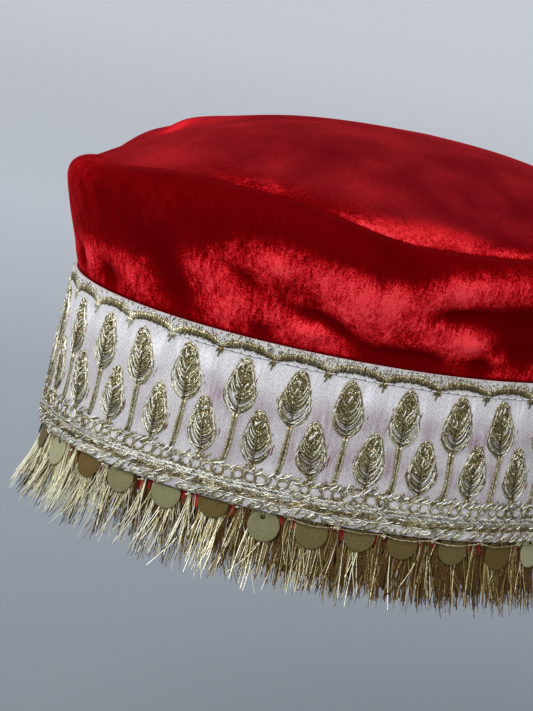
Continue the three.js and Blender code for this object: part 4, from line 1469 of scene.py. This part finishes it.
def hanging_strands(
    fringe, root, sway, curl, share, outwards, radius, tone, steps=6, flat=1.0, flash=0.1, backing=False
):
    """Strands that leave the sewing line at root, fall by a share of the fringe's length, move along
    the band by sway, bow by curl, and swing outwards by the lock's curve, more where it flares. The
    tone is lighter or darker round the cap by the table, as painted light and shade; it swells and
    fades along each strand by flash, as painted glints, and lightens towards its end, which is
    thinner, as painted shade nearer the band. A backing hangs behind the hem and is not bunched."""
    run = np.linspace(0, 1, steps)
    drop = fringe.root_height + fringe.length * share[:, None]
    height = fringe.root_height - drop * run
    fall = drop * run / (fringe.root_height + fringe.length)
    spread = np.maximum(fall - 0.22, 0) / 0.78
    start = root if backing else bunched(root)
    arc = start[:, None] + sway[:, None] * (0.2 * run + 0.8 * spread)
    arc = arc + curl[:, None] * np.sin(np.pi * run)
    degrees = oval_degrees(root)
    flare = round_curve(degrees, FRINGE_LOOK["at"], FRINGE_LOOK["flare"])
    swing = smooth_curve(fall, LOCK_OUT["share"], LOCK_OUT["out"]) * MM
    inset = fringe.inset + (3.4 * MM if backing else 0.0)
    path, out = on_oval(arc, -inset + (outwards * flare)[:, None] * swing, height)
    lit_tone = round_curve(degrees, FRINGE_LOOK["at"], FRINGE_LOOK["tone"])
    phase = 2 * np.pi * np.mod(root * 7919, 1)[:, None]
    shimmer = flash * (np.sin(9 * run + phase) + 1.6 * (run - 0.45))
    thin = np.asarray(radius) * (1 - 0.35 * run**3)
    return threads(path, out, thin, 3, thick=flat * thin, tone=(lit_tone + tone)[:, None] + shimmer)


def curtain_shape(fringe, count, radius, longest, seed, backing=False):
    """Flat dark strands side by side behind the locks, shorter than they are, each with its own lean,
    that stand partly for the shade within the fringe as painted shade; sparse, thin, shorter and
    darker still along the open stretch."""
    random = np.random.default_rng(seed)
    root = (np.arange(count) + random.uniform(-0.5, 0.5, count)) * OVAL_LENGTH / count
    root = root[random.uniform(0, 1, count) > 0.40 * open_and_lit_share(root, "fringe")]
    count = root.size
    loose = open_and_lit_share(root, "fringe")
    return hanging_strands(
        fringe, root, random.normal(0, 2.4, count) * MM, random.normal(0, 0.3, count) * MM,
        random.uniform(0.70, 1.0, count) * longest * (1 - 0.30 * loose),
        random.normal(0.62, 0.14, count), radius * (1 - 0.45 * loose)[:, None] * MM,
        random.normal(-0.20, 0.12, count) - 0.16 * loose, steps=5, flat=0.35, backing=backing,
    )


def lock_shape(fringe, strands, fan, reach, tone, seed, bright=False):
    """Strands in locks that fan out from the middle of each tuft, fewer, thicker and shorter along the
    open stretch, where the bright strands are painted lighter and the inner ones painted darker; where
    bright, only the share that the table gives for the angle is kept, as painted light."""
    random = np.random.default_rng(seed)
    arc, gap = sequin_arcs()
    tufts = TUFTS_PER_SEQUIN * len(arc)
    middle = gap[0] + np.arange(tufts) * OVAL_LENGTH / tufts
    lock = (tufts, fringe.locks, 1)
    strand = (tufts, fringe.locks, strands)
    root = middle[:, None, None] + (random.normal(0, 1.6, lock) + random.normal(0, 0.4, strand)) * MM
    loose = open_and_lit_share(root, "fringe")
    sway = random.normal(0, 0.8, (tufts, 1, 1)) + random.normal(0, fan, lock)
    sway = (sway + random.normal(0, 1.8, strand)) * (1 + 0.5 * loose)
    short = np.abs(random.normal(0, 0.18, lock)) + np.abs(random.normal(0, 0.11, strand))
    short = short * (1 + 0.45 * loose)
    outwards = random.normal(reach, 0.20, lock) + random.normal(0, 0.10, strand)
    tones = random.normal(tone, 0.24, lock) + random.normal(0, 0.44, strand)
    # Painted light on the bright strands and painted shade on the inner ones along the open stretch
    tones = tones + (0.20 if bright else -0.40) * loose
    curl = random.normal(0, 0.6, lock) + random.normal(0, 0.5, strand)
    share = np.clip(1.07 - short, 0.35, 1.06)
    columns = (root, sway * MM, curl * MM, share, np.clip(outwards, 0.1, 1.15), tones)
    columns = [np.ravel(c + np.zeros(strand)) for c in columns]
    wanted = bright_share(columns[0]) if bright else 1.0
    wanted = wanted * (1 - 0.32 * open_and_lit_share(columns[0], "fringe"))
    kept = random.uniform(0, 1, columns[0].size) < wanted
    root, sway, curl, share, outwards, tones = (c[kept] for c in columns)
    thick = fringe.radius * (1 + 0.40 * open_and_lit_share(root, "fringe"))[:, None]
    radius, flash = (1.08 * thick, 0.34) if bright else (thick, 0.16)
    return hanging_strands(fringe, root, sway, curl, share, outwards, radius, tones, flash=flash)


def stray_shape(fringe, seed):
    """Single bright strands that cross the others at a slant, bowed along their length; fewer where
    the fringe is painted in shade."""
    random = np.random.default_rng(seed)
    root = random.uniform(0, OVAL_LENGTH, fringe.strays)
    root = root[random.uniform(0, 1, root.size) < 0.35 + 0.6 * bright_share(root)]
    count = root.size
    return hanging_strands(
        fringe, root, random.normal(-1.5, 6.5, count) * MM, random.normal(0, 1.8, count) * MM,
        random.uniform(0.55, 1.08, count), random.normal(1.05, 0.2, count), 0.16 * MM,
        random.normal(0.50, 0.2, count), steps=9, flash=0.2,
    )


def heading_shape(fringe):
    """Narrow tape that carries the strands: a flat section carried round the sewing line."""
    steps = 200
    arc = np.arange(steps) / steps * OVAL_LENGTH
    path, out = on_oval(arc[None], -fringe.inset, fringe.root_height + 0.4 * MM)
    return threads(path, out, 2.0 * MM, 6, closed=True, thick=0.35 * MM, tone=0.0)


# Stage


def make_floor(stage):
    """Level disc that rises at its rim as a quarter of an ellipse, turned about the Z axis."""
    rows = 40
    columns = 96
    flat = np.linspace(0.02, 1, rows // 2)
    bend = np.linspace(0, np.pi / 2, rows // 2 + 1)[1:]
    rim = 0.9
    radius = np.concatenate((flat * stage.floor_radius, stage.floor_radius + rim * np.sin(bend)))
    height = np.concatenate((0 * flat, stage.wall_height * (1 - np.cos(bend)))) - stage.floor_drop
    turn = np.linspace(0, 2 * np.pi, columns, endpoint=False)
    points = np.stack(
        (
            radius[:, None] * np.cos(turn),
            radius[:, None] * np.sin(turn),
            height[:, None] + 0 * turn,
        ),
        -1,
    )
    index = np.arange(rows * columns).reshape(rows, columns)
    low, high = index[:-1], index[1:]
    quads = np.stack((low, high, np.roll(high, -1, 1), np.roll(low, -1, 1)), -1).reshape(-1, 4)
    floor = make_piece("floor", shape(points, [quads, index[:1]]), stage_material(stage))


def make_lights(scene):
    """Soft boxes that face the cap, one that faces the backdrop, and an even glow from all round."""
    cap = Vector((0, 0, 0.06))
    backdrop = Vector((0, 4.0, 0.9))
    boxes = (
        ("key_light", (-0.55, -1.20, 0.85), cap, 0.70, 11.5, (1.0, 0.99, 0.97)),
        ("side_light", (-1.30, -0.10, 0.50), cap, 0.60, 6.0, (1.0, 0.99, 0.96)),
        ("right_light", (1.05, -0.95, 0.50), cap, 0.60, 3.5, (1.0, 0.93, 0.85)),
        ("back_light", (-0.50, 1.20, 1.10), cap, 0.80, 4.0, (0.95, 0.97, 1.0)),
        ("backdrop_light", (0.0, 1.60, 2.20), backdrop, 1.00, 3.0, (0.97, 0.98, 1.0)),
    )
    for name, place, target, size, power, colour in boxes:
        lamp = bpy.data.lights.new(name, "AREA")
        lamp.shape = "DISK"
        lamp.size = size
        lamp.energy = power
        lamp.color = colour
        light = bpy.data.objects.new(name, lamp)
        light.location = place
        light.rotation_euler = (target - Vector(place)).to_track_quat("-Z", "Y").to_euler()
        scene.collection.objects.link(light)
    world = bpy.data.worlds.new("glow")
    world.use_nodes = True
    background = world.node_tree.nodes["Background"]
    background.inputs["Color"].default_value = (0.76, 0.79, 0.84, 1)
    background.inputs["Strength"].default_value = 0.66
    scene.world = world
    scene.view_settings.view_transform = "Standard"


def make_camera(stage, scene):
    """Camera on a sphere round the origin, rolled about its axis, looking past the origin by the
    aim's offsets."""
    azimuth, elevation, roll = stage.azimuth, stage.elevation, stage.roll
    level = math.cos(elevation)
    back = Vector((math.cos(azimuth) * level, math.sin(azimuth) * level, math.sin(elevation)))
    right = Vector((-math.sin(azimuth), math.cos(azimuth), 0))
    up = back.cross(right)
    turned_right = right * math.cos(roll) + up * math.sin(roll)
    turned_up = up * math.cos(roll) - right * math.sin(roll)
    data = bpy.data.cameras.new("camera")
    data.lens = stage.lens
    data.sensor_width = 36
    data.clip_start = 0.05
    data.clip_end = 50
    camera = bpy.data.objects.new("camera", data)
    place = turned_right * stage.aim_right + turned_up * stage.aim_up + back * stage.distance
    axes = Matrix((turned_right, turned_up, back)).transposed()
    camera.matrix_world = Matrix.Translation(place) @ axes.to_4x4()
    scene.collection.objects.link(camera)
    scene.camera = camera


# Operators


class CAP_OT_crown(bpy.types.Operator):
    """Build the velvet crown with its folds"""

    bl_idname = "cap.crown"
    bl_label = "Velvet Crown"

    def execute(self, context):
        crown = context.scene.velvet_cap.crown
        piece = make_piece("velvet_crown", crown_shape(crown), velvet_material(crown))
        seat(piece, "velvet", "crown")
        return {"FINISHED"}


class CAP_OT_band(bpy.types.Operator):
    """Build the satin band"""

    bl_idname = "cap.band"
    bl_label = "Satin Band"

    def execute(self, context):
        settings = context.scene.velvet_cap
        parts, corner_uv = band_shape(settings.band, settings.embroidery)
        piece = make_piece("satin_band", parts, satin_material(settings.band), corner_uv=corner_uv)
        seat(piece, "satin", "band")
        return {"FINISHED"}


class CAP_OT_leaves(bpy.types.Operator):
    """Stitch both rows of leaves, their stems and the dyed needle marks"""

    bl_idname = "cap.leaves"
    bl_label = "Leaves"

    def execute(self, context):
        e = context.scene.velvet_cap.embroidery
        gold = thread_material("gold_thread", e.gold_dark, e.gold, e.gold_light, 0.32, 0.85)
        tall = row_centres(e, 0.0)
        short = row_centres(e, 0.5)
        foot = -0.8 * MM
        pale = thread_material("pale_thread", e.pale_dark, e.pale, e.pale_light, 0.35, 0.4)
        tall_parts, glints = leaf_shapes(tall, e.tall_base, e.tall_length, e.tall_width, e, SEED + 2)
        tall_parts += stem_shapes(tall, 13.9 * MM, e.tall_base + 0.4 * MM, foot, e, SEED + 3)
        short_parts, more = leaf_shapes(short, e.short_base, e.short_length, e.short_width, e, SEED + 4)
        short_parts += stem_shapes(short, 13.4 * MM, e.short_base, 0.4 * foot, e, SEED + 14)
        seat(make_piece("tall_leaves", join_shapes(tall_parts), gold), "thread")
        seat(make_piece("short_leaves", join_shapes(short_parts), gold), "thread")
        seat(make_piece("leaf_glints", join_shapes(glints + more), pale), "thread")
        marks = needle_shapes(tall, e.tall_base, e.tall_length, e.tall_width, SEED + 15)
        marks += needle_shapes(short, e.short_base, e.short_length, e.short_width, SEED + 16)
        dye = plain_thread_material("needle_dye", tuple(e.needle_dye))
        seat(make_piece("needle_marks", join_shapes(marks), dye), "velvet")
        return {"FINISHED"}


class CAP_OT_arches(bpy.types.Operator):
    """Stitch the arches under the band's upper edge and the running stitch below them"""

    bl_idname = "cap.arches"
    bl_label = "Arches"

    def execute(self, context):
        e = context.scene.velvet_cap.embroidery
        gold = bpy.data.materials["gold_thread"]
        pale = bpy.data.materials["pale_thread"]
        seat(make_piece("arches", join_shapes(arch_shapes(e)), gold), "thread")
        seat(make_piece("arch_flecks", fleck_shapes(2400, 0.15, e, SEED + 28), pale), "thread")
        stitches, holes = seam_stitches(e)
        white = plain_thread_material("white_thread", tuple(e.white_thread))
        seat(make_piece("top_stitching", stitches, white), "satin")
        # Dark needle holes, and the painted shadow line of the seam
        dark = plain_thread_material("needle_holes", tuple(e.hole_shade))
        seat(make_piece("needle_holes", holes, dark), "velvet")
        return {"FINISHED"}


class CAP_OT_border(bpy.types.Operator):
    """Stitch the rows of rings, cords and loops along the band's lower edge"""

    bl_idname = "cap.border"
    bl_label = "Lower Border"

    def execute(self, context):
        gold = bpy.data.materials["gold_thread"]
        pale = bpy.data.materials["pale_thread"]
        seat(make_piece("border_rows", join_shapes(border_shapes()), gold), "thread")
        seat(make_piece("border_cords", join_shapes(pale_border_shapes()), pale), "thread")
        seat(make_piece("edge_thread", join_shapes(edge_shapes()), gold), "thread")
        return {"FINISHED"}


class CAP_OT_sequins(bpy.types.Operator):
    """Hang the sequins on their threads"""

    bl_idname = "cap.sequins"
    bl_label = "Sequins"

    def execute(self, context):
        sequins = context.scene.velvet_cap.sequins
        discs, hole, out = sequin_shapes(sequins)
        seat(make_piece("sequins", discs, sequin_material(sequins)), "sequin", *SEQUIN_NODES)
        gold = bpy.data.materials["gold_thread"]
        seat(make_piece("sequin_threads", sequin_threads(hole, out), gold), "thread")
        return {"FINISHED"}


class CAP_OT_fringe(bpy.types.Operator):
    """Hang the fringe: an inner and an outer layer of strands, and crossing strays"""

    bl_idname = "cap.fringe"
    bl_label = "Fringe"

    def execute(self, context):
        fringe = context.scene.velvet_cap.fringe
        shade = thread_material(
            "fringe_shade", fringe.shade_dark, fringe.shade, fringe.shade_light, 0.5, 0.25, 0.12
        )
        straw = thread_material(
            "fringe_straw", fringe.straw_dark, fringe.straw, fringe.straw_light, 0.36, 0.4
        )
        inner = [
            curtain_shape(fringe, fringe.curtain, 0.36, 0.94, SEED + 16),
            curtain_shape(fringe, fringe.backing, 0.80, 0.82, SEED + 29, backing=True),
            lock_shape(fringe, fringe.inner_strands, 2.8, 0.75, -0.05, SEED + 17),
            heading_shape(fringe),
        ]
        outer = [
            lock_shape(fringe, fringe.outer_strands, 2.6, 1.0, 0.22, SEED + 18, bright=True),
            stray_shape(fringe, SEED + 19),
        ]
        for name, parts, material in (("fringe_inner", inner, shade), ("fringe_outer", outer, straw)):
            seat(make_piece(name, join_shapes(parts), material, smooth=False), "thread", "fringe")
        return {"FINISHED"}


class CAP_OT_stage(bpy.types.Operator):
    """Set the floor, the lights and the camera"""

    bl_idname = "cap.stage"
    bl_label = "Stage"

    def execute(self, context):
        stage = context.scene.velvet_cap.stage
        make_floor(stage)
        make_lights(context.scene)
        make_camera(stage, context.scene)
        return {"FINISHED"}


# Panel and registration


class CAP_PT_panel(bpy.types.Panel):
    """Buttons that build the cap, piece by piece"""

    bl_idname = "CAP_PT_panel"
    bl_label = "Embroidered Velvet Cap"
    bl_space_type = "VIEW_3D"
    bl_region_type = "UI"
    bl_category = "Cap"

    def draw(self, context):
        for operator in OPERATORS:
            self.layout.operator(operator.bl_idname)


OPERATORS = (
    CAP_OT_stage, CAP_OT_crown, CAP_OT_band, CAP_OT_leaves, CAP_OT_arches, CAP_OT_border,
    CAP_OT_sequins, CAP_OT_fringe,
)
SETTINGS = (
    CrownSettings, BandSettings, EmbroiderySettings, SequinSettings, FringeSettings, StageSettings,
    CapSettings,
)
CLASSES = (*SETTINGS, *OPERATORS, CAP_PT_panel)


def register():
    """Register the classes and give the scene its settings."""
    for item in CLASSES:
        bpy.utils.register_class(item)
    bpy.types.Scene.velvet_cap = PointerProperty(type=CapSettings)


def unregister():
    """Take the settings and the classes away again."""
    del bpy.types.Scene.velvet_cap
    for item in reversed(CLASSES):
        bpy.utils.unregister_class(item)


def main():
    """Build the cap piece by piece."""
    register()
    bpy.ops.cap.stage()
    bpy.ops.cap.crown()
    bpy.ops.cap.band()
    bpy.ops.cap.leaves()
    bpy.ops.cap.arches()
    bpy.ops.cap.border()
    bpy.ops.cap.sequins()
    bpy.ops.cap.fringe()


if __name__ == "__main__":
    main()
